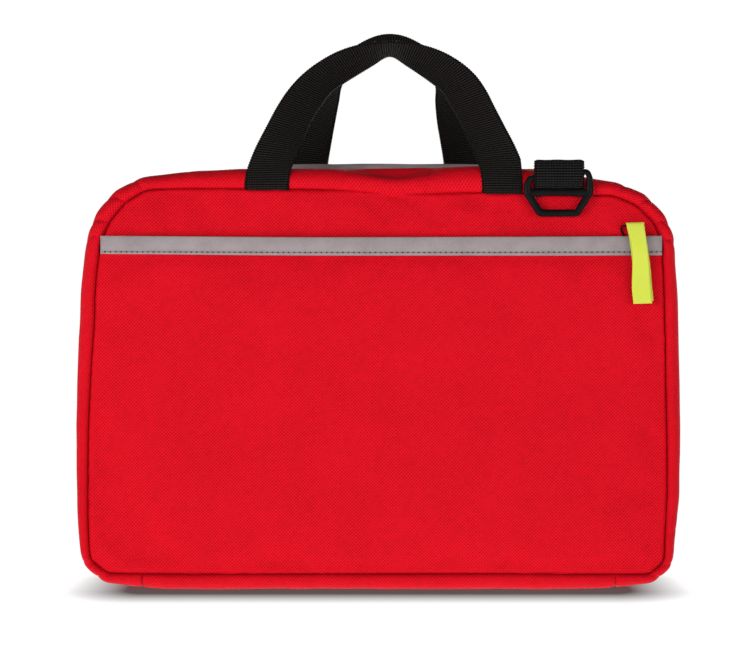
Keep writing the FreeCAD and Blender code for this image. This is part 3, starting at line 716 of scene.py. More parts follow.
def make_panel(name, part, seed, rear=False, nu=260, nv=60):
    O = inset_outline(0.2)
    if part == "upper":
        il, ir, O2 = split_outline(O, Z_SPLIT_HI, True)
        cl, cr = corner_index(O2, -138.9, 213.8), corner_index(O2, 142.2, 211.9)
        L = seg(O2, il, cl)
        T = seg(O2, cl, cr)
        Rr = seg(O2, cr, ir)[::-1]
        B = np.array([O2[il], O2[ir]])
        nv = 44
    elif part == "lower":
        il, ir, O2 = split_outline(O, Z_SPLIT_LO, False)
        cl, cr = corner_index(O2, -153.6, 13.0), corner_index(O2, 153.0, 12.2)
        L = seg(O2, cl, il)
        Rr = seg(O2, ir, cr)[::-1]
        B = seg(O2, cr, cl)[::-1]
        T = np.array([O2[il], O2[ir]])
        nv = 150
    else:
        O2 = O
        cl, cr = corner_index(O2, -153.6, 13.0), corner_index(O2, 153.0, 12.2)
        tl, tr = corner_index(O2, -138.9, 213.8), corner_index(O2, 142.2, 211.9)
        L, T, Rr, B = seg(O2, cl, tl), seg(O2, tl, tr), seg(O2, tr, cr)[::-1], seg(O2, cr, cl)[::-1]
        nv = 180
    # cloth relaxation on a coarse grid, pinned at the seams
    cu, cv = (70, 12) if part == "upper" else (70, 44)
    C = coons(L, Rr, B, T, cu, cv)
    fo = 1.9 if part == "upper" else 1.15
    yc, dc = panel_surface(C[..., 0], C[..., 1], seed, folds=fo)
    Pc = np.dstack([C[..., 0], yc, C[..., 1]])
    pin = np.zeros((cu, cv), dtype=bool)
    pin[0], pin[-1], pin[:, 0], pin[:, -1] = True, True, True, True
    pin |= dc < 2.5
    D = cloth_relax(Pc, pin, cap=1.3)
    G = coons(L, Rr, B, T, nu, nv)
    # rows drawn towards the seam, so that the rolled edge is smooth
    def ease(t, k):
        return t + k * np.sin(2 * math.pi * t) / (2 * math.pi) * -1.0
    gu = np.interp(ease(np.linspace(0, 1, nu), 0.72), np.linspace(0, 1, nu), np.arange(nu))
    gv = np.interp(ease(np.linspace(0, 1, nv), 0.72), np.linspace(0, 1, nv), np.arange(nv))
    i0 = np.clip(np.floor(gu).astype(int), 0, nu - 2)
    fu = (gu - i0)[:, None, None]
    G = G[i0] * (1 - fu) + G[i0 + 1] * fu
    j0 = np.clip(np.floor(gv).astype(int), 0, nv - 2)
    fv = (gv - j0)[None, :, None]
    G = G[:, j0] * (1 - fv) + G[:, j0 + 1] * fv
    Df = upsample(D, nu, nv)
    Df = Df[i0] * (1 - fu) + Df[i0 + 1] * fu
    Df = Df[:, j0] * (1 - fv) + Df[:, j0 + 1] * fv
    x, z = G[..., 0], G[..., 1]
    y, d = panel_surface(x, z, seed, folds=fo)
    y = y + np.clip(Df[..., 1], -1.3, 1.3) * np.clip((d - 1.5) / 8.0, 0, 1)
    if part == "upper":
        # small dents just under the top seam, the pull of the handle's feet, and the tuck at the pocket's zipper
        for cx, w, dep, run in ((9.0, 3.0, 1.3, 4.0), (8.0, 9.0, 0.9, 16.0), (53.5, 4.0, 1.2, 12.0), (-17.0, 8.0, 0.7, 22.0), (30.0, 7.0, -0.6, 14.0),
                                (-38.0, 7.0, -0.5, 18.0), (70.0, 8.0, -0.6, 14.0), (-62.0, 10.0, -0.5, 10.0), (118.0, 5.0, 0.8, 9.0), (-112.0, 6.0, 0.7, 10.0),
                                (84.0, 7.0, 0.8, 20.0), (-84.0, 12.0, 0.5, 20.0)):
            y += dep * bump_at(x + 0.25 * (z - 215.0), cx, w) * np.exp(-np.abs(d - 3.0) / run) * np.clip(d / 2.0, 0, 1)
        y += 1.7 * np.exp(-((z - 191.5) / 4.2) ** 2) + 0.55 * np.exp(-((z - 192.0) / 9.0) ** 2) * (0.6 + 0.4 * noise2(x, x * 0, 83, 30.0))
        y = np.where((z < 206.0) & (d > 1.2), np.minimum(y, -37.4), y)
    if part == "lower":
        y += 0.6 * np.exp(-((z - 184.0) / 4.0) ** 2)
    if rear:
        P = np.dstack([x, -y, z])
    else:
        P = np.dstack([x, y, z])
    uv = np.dstack([x + 400.0 + 0.006 * z, z + 40.0 - 0.016 * x])
    o = grid_object(name, P, uv, flip=rear)
    mat(o, M_RED)
    solidify(o, 0.6, -1.0)
    return o


upper = make_panel("front_upper_cloth", "upper", 41)
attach(upper, "front_shell")
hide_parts("front_upper_panel")
lower = make_panel("front_pocket_cloth", "lower", 47)
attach(lower, "front_shell")
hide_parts("front_pocket_panel")
back = make_panel("rear_panel_cloth", "whole", 53, rear=True)
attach(back, "rear_shell")
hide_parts("rear_panel")


def front_y(x, z):
    y, _ = panel_surface(np.atleast_1d(float(x)), np.atleast_1d(float(z)), 47)
    return float(y[0])


# ---------------------------------------------------------------- front strip
def seam_x(z, right):
    O = S_PTS
    m = (O[:, 0] > 0) if right else (O[:, 0] < 0)
    c = O[m]
    return float(c[np.argmin(np.abs(c[:, 1] - z)), 0])


def front_strip():
    nx = 330
    rows = [(184.3, 0.15), (184.5, 0.75), (185.4, 1.05), (186.2, 0.85), (187.2, 1.15), (189.0, 1.7), (191.0, 2.0),
            (192.8, 2.05), (194.0, 1.95), (194.6, 1.75), (194.55, 1.4), (194.0, 1.25), (192.0, 1.35), (188.5, 1.1), (186.4, 0.35)]
    prof = catmull(np.array(rows), 36)
    P = np.zeros((nx, len(prof), 3))
    uv = np.zeros((nx, len(prof), 2))
    for i in range(nx):
        t = i / (nx - 1)
        for j, (z, h) in enumerate(prof):
            xl, xr = seam_x(190, False) + 0.3, seam_x(190, True) - 0.3
            x = xl + (xr - xl) * t
            mid = 1 - ((x + 1) / 157.0) ** 2
            zz = z - 1.15 * mid ** 1.0 * (0.75 if z > 190 else 0.55) + 0.25 * math.sin(x / 27.0) * 0.3 + 0.55 - (0.35 * x / 157.0 if z < 188 else 0)
            ends = min(1.0, (x - xl) / 2.2, (xr - x) / 2.2)
            yb = -37.9 - 1.9 * min(1, min(x - xl, xr - x) / 45.0 + 0.25)
            P[i, j] = (x, yb - h * (0.35 + 0.65 * ends) * 1.0 - 0.12 * math.sin(x / 19.0), zz)
            uv[i, j] = (x + 300, z)
    o = grid_object("front_strip_cloth", P, uv)
    mat(o, M_STRIP)
    return o, P


strip, STRIP_P = front_strip()
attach(strip, "front_shell")
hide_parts("front_reflective_strip")


def capsule_chain(name, pts, normals, length, r, material, sides=6, gap_dark=False):
    """Short rounded stitches, each along the line between two points."""
    verts, faces, uvs = [], [], []
    for (a, b), nrm in zip(pts, normals):
        a, b = Vector(a), Vector(b)
        d = (b - a).normalized()
        up = Vector(nrm).normalized()
        side = d.cross(up).normalized()
        up = side.cross(d).normalized()
        rings = [(0.0, 0.25, -0.8), (0.12, 0.75, -0.2), (0.3, 1.0, 0.25), (0.5, 1.0, 0.4), (0.7, 1.0, 0.25), (0.88, 0.75, -0.2), (1.0, 0.25, -0.8)]
        base = len(verts)
        for t, k, lift in rings:
            c = a + (b - a) * t + up * (lift * r)
            for q in range(sides):
                ang = 2 * math.pi * q / sides
                p = c + (side * math.cos(ang) + up * math.sin(ang)) * r * k
                verts.append(p)
                uvs.append((t * 2, q / sides))
        for i in range(len(rings) - 1):
            for q in range(sides):
                q2 = (q + 1) % sides
                faces.append((base + i * sides + q, base + (i + 1) * sides + q, base + (i + 1) * sides + q2, base + i * sides + q2))
        faces.append(tuple(base + q for q in range(sides)))
        faces.append(tuple(base + (len(rings) - 1) * sides + q for q in range(sides))[::-1])
    o = mesh_object(name, [tuple(v) for v in verts], faces, uvs)
    mat(o, material)
    return o


def strip_point(x, z):
    """A point on the front strip's face."""
    i = int(np.argmin(np.abs(STRIP_P[:, 0, 0] - x)))
    j = int(np.argmin(np.abs(STRIP_P[i, :22, 2] - z)))
    return STRIP_P[i, j]


pairs, nrms, holes, hn = [], [], [], []
x = -152.5
while x < 154.0:
    z = 186.35 - 0.45 * (1 - (x / 157.0) ** 2)
    a, b = strip_point(x, z), strip_point(x + 1.7, z)
    pairs.append(((x, a[1] - 0.02, z), (x + 1.7, b[1] - 0.02, z)))
    nrms.append((0, -1, 0))
    c, d = strip_point(x + 1.75, z), strip_point(x + 2.95, z)
    holes.append(((x + 1.75, c[1] - 0.10, z), (x + 2.95, d[1] - 0.10, z)))
    hn.append((0, -1, 0))
    x += 2.97
st = capsule_chain("front_strip_stitches", pairs, nrms, 1.7, 0.2, M_STITCH_GREY)
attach(st, "front_shell")
# painted shade: dark capsules where the needle holes' shade falls, between the grey stitches
hl = capsule_chain("front_strip_needle_hole_shade", holes, hn, 1.2, 0.36, M_NEEDLE_HOLE_SHADE)
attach(hl, "front_shell")


# ---------------------------------------------------------------- webbing
FRONT_LEFT = [
    (-73.5, -39.2, 221.9, -49.1, -39.2, 221.9),
    (-72.3, -38.4, 231.5, -47.9, -37.6, 232.0),
    (-67.8, -38.0, 243.2, -44.2, -33.0, 240.6),
    (-61.6, -37.2, 255.4, -40.8, -25.2, 250.6),
    (-56.0, -36.2, 266.0, -36.4, -22.4, 260.6),
    (-49.6, -35.2, 275.8, -30.8, -20.0, 269.4),
    (-41.6, -34.2, 284.6, -25.6, -17.6, 276.4),
    (-32.0, -33.4, 291.9, -19.6, -14.8, 280.8),
    (-21.0, -32.8, 297.8, -11.7, -13.0, 285.9),
    (-8.0, -32.2, 301.6, -3.0, -10.6, 291.4),
    (6.35, -32.0, 302.8, 6.35, -9.0, 296.8),
]
REAR_LEFT = [
    (-54.6, 39.2, 221.9, -30.2, 39.2, 221.9),
    (-54.0, 38.4, 231.5, -29.8, 37.4, 231.5),
    (-51.0, 37.6, 242.5, -28.8, 31.0, 240.5),
    (-46.0, 35.6, 256.5, -26.8, 22.4, 250.8),
    (-39.6, 31.6, 269.5, -24.6, 14.6, 262.0),
    (-33.4, 27.6, 280.0, -22.4, 8.2, 272.6),
    (-27.4, 23.4, 290.6, -20.4, 2.2, 282.0),
    (-20.4, 18.9, 300.2, -12.6, -2.2, 289.6),
    (-10.6, 16.0, 306.8, -6.0, -5.2, 294.8),
    (-1.6, 14.0, 310.9, 1.5, -6.2, 296.9),
    (6.6, 13.6, 312.2, 6.6, -6.6, 297.6),
]


def lean(z):
    """How far the crown of a handle leans to the right, growing with height."""
    t = min(max((z - 262.0) / 34.0, 0.0), 1.0)
    return 2.3 * t * t * (3 - 2 * t)


def both_legs(left, cx):
    right = [(2 * (cx + lean(a[2])) - a[0], a[1], a[2], 2 * (cx + lean(a[5])) - a[3], a[4], a[5])
             for a in left[-2::-1]]
    return left + right


def webbing_strip(name, stations, t=1.7, rib=1.3, material=None, cols=38, closed=False, tight=None):
    """A strap through paired edge points, with cross ribs, rounded selvedges and a serrated edge."""
    fine = catmull(np.array(stations), 60 * (len(stations) - 1))
    mid = (fine[:, :3] + fine[:, 3:]) / 2
    d = np.r_[0, np.cumsum(np.linalg.norm(np.diff(mid, axis=0), axis=1))]
    n = int(d[-1] / (rib / 5))
    s = np.linspace(0, d[-1], n)
    F = np.column_stack([np.interp(s, d, fine[:, k]) for k in range(6)])
    F = gauss(F, 5.0)
    A, B = F[:, :3], F[:, 3:]
    mid = (A + B) / 2
    T = np.gradient(mid, axis=0)
    T /= np.linalg.norm(T, axis=1)[:, None]
    W = B - A
    width = np.linalg.norm(W, axis=1)
    W = W / width[:, None]
    N = np.cross(W, T)
    N /= np.linalg.norm(N, axis=1)[:, None]
    # profile round the strap: across, then back along the other face
    prof = []
    half = cols // 2
    for k in range(half + 1):
        a = -1 + 2 * k / half
        prof.append((a, 1.0))
    full = []
    for a, side in prof:
        e = 1 - abs(a)
        h = min(1.0, (e * 12.0 / 1.1) ** 0.5) if e < 0.0917 else 1.0
        full.append((a * 0.5, 0.5 * h))
    ring = full + [(a, -h) for a, h in full[::-1][1:-1]]
    m = len(ring)
    P = np.zeros((n, m, 3))
    uv = np.zeros((n, m, 2))
    phase = np.abs(np.sin(math.pi * s / rib)) ** 0.7
    wob = noise2(s, s * 0, 5, 21.0) * 0.25
    for j, (a, h) in enumerate(ring):
        col = int(math.floor((a + 0.5) * 24.4 / rib))
        ph = np.abs(np.sin(math.pi * (s / rib + 0.06 * (col % 2)))) ** 0.8
        edge = abs(a) > 0.44
        bead = 0.8 + 0.2 * math.cos(2 * math.pi * (a + 0.5) * 24.4 / rib)
        ridge = 0.52 * (ph * bead - 0.7) if not edge else 0.34 * (phase - 0.7)
        tt = t * h * 2 / 2 + (np.sign(h) * ridge * (1 if abs(h) > 0.2 else 0.3))
        if tight is not None:
            tt = tt * tight(s, d[-1])
        across = a * width
        if abs(a) > 0.46:
            across = across + np.sign(a) * 0.55 * (phase - 0.55)
        P[:, j] = mid + W * across[:, None] + N * (tt + wob * 0.3)[:, None]
        uv[:, j, 0] = (a + 0.5) * 24.4 + (0 if h > 0 else 60)
        uv[:, j, 1] = s
    o = grid_object(name, P, uv, closed_m=True)
    # close both ends
    bm = bmesh.new()
    bm.from_mesh(o.data)
    bmesh.ops.holes_fill(bm, edges=[e for e in bm.edges if len(e.link_faces) == 1], sides=0)
    bmesh.ops.recalc_face_normals(bm, faces=bm.faces)
    bm.to_mesh(o.data)
    bm.free()
    mat(o, material or M_WEB)
    return o


def handle(name, left, cx, sgn, nodes):
    """A carry handle from inside the top seam, over, and back into the seam."""
    st = both_legs(left, cx)

    def foot(e, drop):
        x0, x1 = e[0], e[3]
        return [(x0, sgn * 34.6, 220.2 - drop, x1, sgn * 34.6, 220.2 - drop), (x0, sgn * 36.4, 220.6 - drop, x1, sgn * 36.4, 220.6 - drop),
                (x0, sgn * 38.4, 221.5 - drop, x1, sgn * 38.4, 221.5 - drop), (x0, sgn * 39.5, 223.6 - drop * 0.6, x1, sgn * 39.5, 223.6 - drop * 0.6)]
    zl = float(S_PTS[corner_index(S_PTS, (st[0][0] + st[0][3]) / 2, 221.0), 1])
    zr = float(S_PTS[corner_index(S_PTS, (st[-1][0] + st[-1][3]) / 2, 221.0), 1])
    st = foot(st[0], 221.0 - zl) + st[1:-1] + foot(st[-1], 221.0 - zr)[::-1]
    o = webbing_strip(name, st, t=1.55)
    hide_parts(*nodes)
    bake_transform(o)
    return o


fh = handle("front_handle_webbing", FRONT_LEFT, 3.95, -1, ["front_handle", "front_handle_ends"])
for v in fh.data.vertices:
    # the right foot's selvedge is pressed in beside the ring's shoulder
    if v.co.x > 0.0782:
        v.co.x = 0.0782 + (v.co.x - 0.0782) * 0.3
handle("rear_handle_webbing", REAR_LEFT, 4.4, 1, ["rear_handle", "rear_handle_ends"])


# ---------------------------------------------------------------- ring loops
def ring_loop(name, xc, drop, sgn, body, node):
    path = [(-36.6, 209.0), (-36.6, 215.0), (-37.0, 219.3), (-38.8, 220.9), (-39.25, 223.5), (-39.4, 229.5 - drop),
            (-39.7, 233.6 - drop), (-40.6, 235.8 - drop), (-42.6, 236.5 - drop), (-44.4, 235.4 - drop),
            (-45.5, 232.6 - drop), (-45.7, 229.4 - drop), (-45.2, 226.6 - drop),
            (-43.4, 223.6 - drop * 0.4), (-41.4, 221.0), (-39.2, 219.2), (-37.6, 217.8)]
    w = 13.5
    st = [(xc - w, sgn * -y if sgn > 0 else y, z, xc + w, sgn * -y if sgn > 0 else y, z) for y, z in path]
    o = webbing_strip(name, st, t=1.35, rib=1.45, material=M_LOOPWEB)
    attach(o, body)
    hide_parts(node)
    return o


ring_loop("front_loop_webbing", 99.0, 0.0, -1, "front_shell", "front_ring_loop")
ring_loop("rear_loop_webbing", -100.3, 2.6, 1, "rear_shell", "rear_ring_loop")


# ---------------------------------------------------------------- rings
def sweep(path, rx, ry, normal, sides=14, closed=False, scale=None, square=2.6):
    """A bar of superellipse section along a path; normal is the section's ry direction."""
    P = np.asarray(path, dtype=float)
    n = len(P)
    if closed:
        T = np.roll(P, -1, 0) - np.roll(P, 1, 0)
    else:
        T = np.gradient(P, axis=0)
    T /= np.linalg.norm(T, axis=1)[:, None]
    Nn = np.asarray(normal, dtype=float)
    verts = np.zeros((n, sides, 3))
    uv = np.zeros((n, sides, 2))
    for i in range(n):
        B = np.cross(T[i], Nn)
        B /= np.linalg.norm(B)
        k = 1.0 if scale is None else scale[i]
        for q in range(sides):
            a = 2 * math.pi * q / sides
            c, s = math.cos(a), math.sin(a)
            e = 2.0 / square
            dx = math.copysign(abs(c) ** e, c) * rx * k
            dy = math.copysign(abs(s) ** e, s) * ry
            verts[i, q] = P[i] + B * dx + Nn * dy
            uv[i, q] = (i, q)
    return verts, uv


def rounded_poly(pts, r, seg_n=7):
    """A closed polygon with rounded corners, as points."""
    out = []
    n = len(pts)
    for i in range(n):
        p0, p, p1 = np.array(pts[i - 1], float), np.array(pts[i], float), np.array(pts[(i + 1) % n], float)
        a, b = p0 - p, p1 - p
        la, lb = np.linalg.norm(a), np.linalg.norm(b)
        a, b = a / la, b / lb
        rr = r[i] if isinstance(r, (list, tuple)) else r
        ang = math.acos(max(-1, min(1, float(a @ b))))
        t = min(rr / math.tan(ang / 2), la * 0.45, lb * 0.45)
        s, e = p + a * t, p + b * t
        for k in range(seg_n + 1):
            u = k / seg_n
            out.append((1 - u) ** 2 * s + 2 * u * (1 - u) * p + u * u * e)
    return np.array(out)


def d_ring(name, xc, ztop, sgn, body, node, sag=0.0):
    y = sgn * 42.4
    hw = 17.1
    outer = [(xc - hw + 1.6, ztop - 0.9 - sag), (xc + hw - 1.2, ztop + 0.9), (xc + hw, ztop - 3.0), (xc + hw, ztop - 10.8),
             (xc + 9.9, ztop - 21.9), (xc - 10.1, ztop - 21.9), (xc - hw, ztop - 10.8 - 0.3 * sag), (xc - hw, ztop - 4.2 - sag)]
    path = rounded_poly(outer, [2.0, 3.0, 3.4, 3.6, 1.9, 1.9, 3.6, 2.6], 8)
    P3 = np.column_stack([path[:, 0], np.full(len(path), y), path[:, 1]])
    P3, _ = resample(P3, n=150, closed=True)
    # thinner top bar so that it turns freely in its loop
    k = np.where(P3[:, 2] > ztop - 1.6 - sag, 0.78, 1.0)
    k = gauss(k[:, None], 3.0, closed=True)[:, 0]
    V1, U1 = sweep(P3, 2.0, 1.5, (0, 1, 0), 16, closed=True, scale=k)
    a = grid_object(name, V1, U1, closed_n=True, closed_m=True)
    # bowed middle bar, wider at its ends
    m = 40
    xs = np.linspace(xc - hw + 0.6, xc + hw - 0.6, m)
    u = (xs - xc) / hw
    zc = ztop - 10.9 + 0.35 * (1 - u ** 2)
    half = 1.75 + 0.85 * np.abs(u) ** 2.0
    V2 = np.zeros((m, 16, 3))
    U2 = np.zeros((m, 16, 2))
    for i in range(m):
        for q in range(16):
            ang = 2 * math.pi * q / 16
            c, s = math.cos(ang), math.sin(ang)
            V2[i, q] = (xs[i], y + math.copysign(abs(s) ** 0.75, s) * 1.3, zc[i] + math.copysign(abs(c) ** 0.75, c) * half[i])
            U2[i, q] = (i, q)
    b = grid_object(name + "_mid", V2, U2, closed_m=True)
    bm = bmesh.new()
    bm.from_mesh(b.data)
    bmesh.ops.holes_fill(bm, edges=[e for e in bm.edges if len(e.link_faces) == 1], sides=0)
    bm.to_mesh(b.data)
    bm.free()
    o = join(name, [a, b])
    bm = bmesh.new()
    bm.from_mesh(o.data)
    bmesh.ops.recalc_face_normals(bm, faces=bm.faces)
    bm.to_mesh(o.data)
    bm.free()
    mat(o, M_RING)
    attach(o, body)
    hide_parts(node)
    return o


d_ring("front_ring_moulding", 98.7, 229.4, -1, "front_ring", "front_d_ring", sag=1.9)
d_ring("rear_ring_moulding", -100.3, 226.9, 1, "rear_ring", "rear_d_ring")


# ---------------------------------------------------------------- neon tab
def ribbon(name, centre, width_dir, width, t, material, uv0=0.0, rib=0.55):
    """A thin ribbon through centre points with one width direction and width per point."""
    C = catmull(np.array([list(c) + list(w) + [b] for c, w, b in zip(centre, width_dir, width)]), 40 * (len(centre) - 1))
    mid, Wd, wd = C[:, :3], C[:, 3:6], C[:, 6]
    d = np.r_[0, np.cumsum(np.linalg.norm(np.diff(mid, axis=0), axis=1))]
    n = int(d[-1] / 0.22)
    s = np.linspace(0, d[-1], n)
    mid = np.column_stack([np.interp(s, d, mid[:, k]) for k in range(3)])
    Wd = np.column_stack([np.interp(s, d, Wd[:, k]) for k in range(3)])
    wd = np.interp(s, d, wd)
    Wd /= np.linalg.norm(Wd, axis=1)[:, None]
    T = np.gradient(mid, axis=0)
    T /= np.linalg.norm(T, axis=1)[:, None]
    N = np.cross(Wd, T)
    N /= np.linalg.norm(N, axis=1)[:, None]
    m = 16
    ring = [(-0.5 + k / (m - 1), 1) for k in range(m)]
    ring = ring + [(a, -1) for a, _ in ring[::-1]]
    P = np.zeros((n, len(ring), 3))
    uv = np.zeros((n, len(ring), 2))
    ser = np.abs(np.sin(math.pi * s / rib)) ** 0.7
    for j, (a, h) in enumerate(ring):
        e = 0.35 if abs(a) > 0.49 else 1.0
        side = np.sign(a) * 0.24 * (ser - 0.4) if abs(a) > 0.47 else 0
        P[:, j] = mid + Wd * (a * wd + side)[:, None] + N * (h * t / 2 * e)
        uv[:, j] = np.column_stack([np.full(n, (a + 0.5) * 9.5 + (20 if h < 0 else 0)), s + uv0])
    o = grid_object(name, P, uv, closed_m=True)
    bm = bmesh.new()
    bm.from_mesh(o.data)
    bmesh.ops.holes_fill(bm, edges=[e for e in bm.edges if len(e.link_faces) == 1], sides=0)
    bmesh.ops.recalc_face_normals(bm, faces=bm.faces)
    bm.to_mesh(o.data)
    bm.free()
    mat(o, material)
    return o


X = (1, 0, 0)
tab = ribbon(
    "pocket_tab_ribbon",
    [(145.9, -43.2, 159.6), (145.0, -43.0, 168.0), (143.9, -42.6, 180.0), (142.2, -42.3, 192.0), (141.2, -42.1, 198.0),
     (140.7, -42.4, 200.9), (140.5, -43.6, 202.1), (140.5, -44.7, 201.0), (141.7, -45.4, 195.4), (142.9, -45.7, 188.0), (143.3, -45.4, 181.0),
     (143.5, -44.9, 173.5), (143.8, -44.9, 166.0), (144.6, -44.7, 157.9)],
    [(1, 0, -0.05)] * 3 + [(1, -0.03, 0.0)] * 2 + [(1, 0, 0.02)] * 3 + [(1, 0, 0.03)] * 6,
    [9.3, 9.4, 9.5, 9.0, 9.2, 9.7, 9.9, 9.6, 8.6, 8.3, 8.7, 9.4, 10.2, 10.1], 0.55, M_NEON)
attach(tab, "pocket_tab")
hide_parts("pocket_pull_tab")


def tube(name, pts, r, material, sides=10, n=60):
    P = catmull(np.array(pts), n)
    V = np.zeros((n, sides, 3))
    U = np.zeros((n, sides, 2))
    T = np.gradient(P, axis=0)
    T /= np.linalg.norm(T, axis=1)[:, None]
    up = np.array([0.0, 1.0, 0.13])
    for i in range(n):
        b = np.cross(T[i], up)
        if np.linalg.norm(b) < 1e-3:
            b = np.cross(T[i], [1.0, 0, 0])
        b /= np.linalg.norm(b)
        c = np.cross(b, T[i])
        rr = r * (1 + 0.06 * math.sin(i * 1.9))
        for q in range(sides):
            a = 2 * math.pi * q / sides + i * 0.35
            V[i, q] = P[i] + (b * math.cos(a) + c * math.sin(a)) * rr
            U[i, q] = (q, i)
    o = grid_object(name, V, U, closed_m=True)
    bm = bmesh.new()
    bm.from_mesh(o.data)
    bmesh.ops.holes_fill(bm, edges=[e for e in bm.edges if len(e.link_faces) == 1], sides=0)
    bmesh.ops.recalc_face_normals(bm, faces=bm.faces)
    bm.to_mesh(o.data)
    bm.free()
    mat(o, material)
    return o


cord = tube("pocket_cord_loop", [(136.4, -39.1, 191.0), (135.5, -39.25, 193.2), (134.5, -39.4, 195.4), (133.6, -40.1, 197.4), (133.1, -41.6, 199.3), (133.6, -42.9, 200.4), (135.0, -43.2, 200.6), (137.5, -43.2, 200.6), (140.0, -43.2, 200.6)], 0.5, M_WEB, n=90)
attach(cord, "pocket_slider_body")
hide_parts("pocket_puller_cord")


# ---------------------------------------------------------------- top strip
def top_strip():
    nx = 200
    rows = [(5.9, 231.6), (5.4, 233.2), (5.2, 235.0), (5.7, 236.6), (7.0, 237.5), (9.0, 237.6), (11.2, 236.6), (13.0, 234.6), (13.6, 232.6), (13.6, 231.4)]
    prof = catmull(np.array(rows), 30)
    P = np.zeros((nx, len(prof), 3))
    uv = np.zeros((nx, len(prof), 2))
    for i in range(nx):
        x = -60.5 + 129.0 * i / (nx - 1)
        e = min(1.0, (x + 60.5) / 3.0, (68.5 - x) / 3.0)
        drop = 0.5 * (1 - (2 * abs(x - 4) / 129.0) ** 2)
        for j, (y, z) in enumerate(prof):
            zz = 231.4 + (z - 231.4) * (0.55 + 0.45 * math.sqrt(max(e, 0))) + (drop - 0.5) * 1.0
            P[i, j] = (x, y + 0.25 * math.sin(x / 13.0), zz + 0.12 * math.sin(x / 7.0 + j))
            uv[i, j] = (x + 300, z)
    o = grid_object("top_strip_cloth", P, uv)
    bm = bmesh.new()
    bm.from_mesh(o.data)
    bmesh.ops.holes_fill(bm, edges=[e for e in bm.edges if len(e.link_faces) == 1], sides=0)
    bmesh.ops.recalc_face_normals(bm, faces=bm.faces)
    bm.to_mesh(o.data)
    bm.free()
    mat(o, M_STRIP)
    return o


ts = top_strip()
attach(ts, "rear_shell")
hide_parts("top_reflective_strip")

# =====================================================================
# small shape tools
# =====================================================================


def close_and_fix(o):
    bm = bmesh.new()
    bm.from_mesh(o.data)
    op = [e for e in bm.edges if len(e.link_faces) == 1]
    if op:
        bmesh.ops.holes_fill(bm, edges=op, sides=0)
    bmesh.ops.recalc_face_normals(bm, faces=bm.faces)
    bm.to_mesh(o.data)
    bm.free()
    return o


AX = {"x": (1, 2, 0), "y": (0, 2, 1), "z": (0, 1, 2)}


def prism(name, pts, axis, a0, a1, bevel=0.3, segs=2, material=None, smooth=True):
    """A flat plate from a 2-D outline, with rounded edges; pts are the two other axes in order."""
    i, j, k = AX[axis]
    bm = bmesh.new()
    lo, hi = [], []
    for u, v in pts:
        for a, lst in ((a0, lo), (a1, hi)):
            c = [0.0, 0.0, 0.0]
            c[i], c[j], c[k] = u * MM, v * MM, a * MM
            lst.append(bm.verts.new(c))
    bm.faces.new(lo)
    bm.faces.new(hi[::-1])
    n = len(pts)
    for q in range(n):
        bm.faces.new((lo[q], lo[(q + 1) % n], hi[(q + 1) % n], hi[q])[::-1])
    bmesh.ops.recalc_face_normals(bm, faces=bm.faces)
    if bevel:
        rim = [e for e in bm.edges if len(e.link_faces) == 2 and e.calc_face_angle(0) > 0.7]
        bmesh.ops.bevel(bm, geom=rim, offset=bevel * MM, segments=segs, profile=0.5, affect="EDGES", clamp_overlap=True)
    me = bpy.data.meshes.new(name)
    bm.to_mesh(me)
    bm.free()
    o = link(bpy.data.objects.new(name, me))
    if smooth:
        me.polygons.foreach_set("use_smooth", [True] * len(me.polygons))
        m = o.modifiers.new("wn", "WEIGHTED_NORMAL")
        m.keep_sharp = True
    if material:
        mat(o, material)
    return o


def rect(x0, x1, y0, y1, r=0.0, n=4):
    if r <= 0:
        return [(x0, y0), (x1, y0), (x1, y1), (x0, y1)]
    out = []
    for cx, cy, a0 in ((x1 - r, y0 + r, -90), (x1 - r, y1 - r, 0), (x0 + r, y1 - r, 90), (x0 + r, y0 + r, 180)):
        for k in range(n + 1):
            a = math.radians(a0 + 90 * k / n)
            out.append((cx + r * math.cos(a), cy + r * math.sin(a)))
    return out


def bar_path(name, pts, rx, ry, normal, material=None, closed=False, n=60, sides=12, scale=None, square=2.4):
    P = catmull(np.array(pts), n, closed)
    V1, U1 = sweep(P, rx, ry, normal, sides, closed=closed, scale=scale, square=square)
    o = grid_object(name, V1, U1, closed_n=closed, closed_m=True)
    close_and_fix(o)
    if material:
        mat(o, material)
    return o


def flat_strap(name, stations, t, material, rib=0.8, width_uv=24.0):
    """A thin flat strap through paired edge points, closed, with rounded selvedges."""
    fine = catmull(np.array(stations), 30 * (len(stations) - 1))
    A, B = fine[:, :3], fine[:, 3:]
    mid = (A + B) / 2
    T = np.gradient(mid, axis=0)
    T /= np.linalg.norm(T, axis=1)[:, None]
    W = B - A
    w = np.linalg.norm(W, axis=1)
    W = W / w[:, None]
    N = np.cross(W, T)
    N /= np.linalg.norm(N, axis=1)[:, None]
    s = np.r_[0, np.cumsum(np.linalg.norm(np.diff(mid, axis=0), axis=1))]
    ring = []
    m = 12
    for k in range(m + 1):
        a_ = -0.5 + k / m
        ring.append((a_, 0.5 if 0 < k < m else 0.15))
    ring = ring + [(a_, -h) for a_, h in ring[::-1]]
    P = np.zeros((len(mid), len(ring), 3))
    uv = np.zeros((len(mid), len(ring), 2))
    for j, (a_, h) in enumerate(ring):
        ph = 0.05 * np.cos(2 * math.pi * s / rib + (j % 2) * math.pi)
        P[:, j] = mid + W * (a_ * w)[:, None] + N * (h * t + np.sign(h) * ph * (abs(h) > 0.3))[:, None]
        uv[:, j, 0] = (a_ + 0.5) * width_uv
        uv[:, j, 1] = s
    o = grid_object(name, P, uv, closed_m=True)
    close_and_fix(o)
    mat(o, material)
    return o


def place(o, body, slot, *nodes, pad=None):
    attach(o, body)
    if nodes:
        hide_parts(*nodes)
    return o


# =====================================================================
# more materials
# =====================================================================


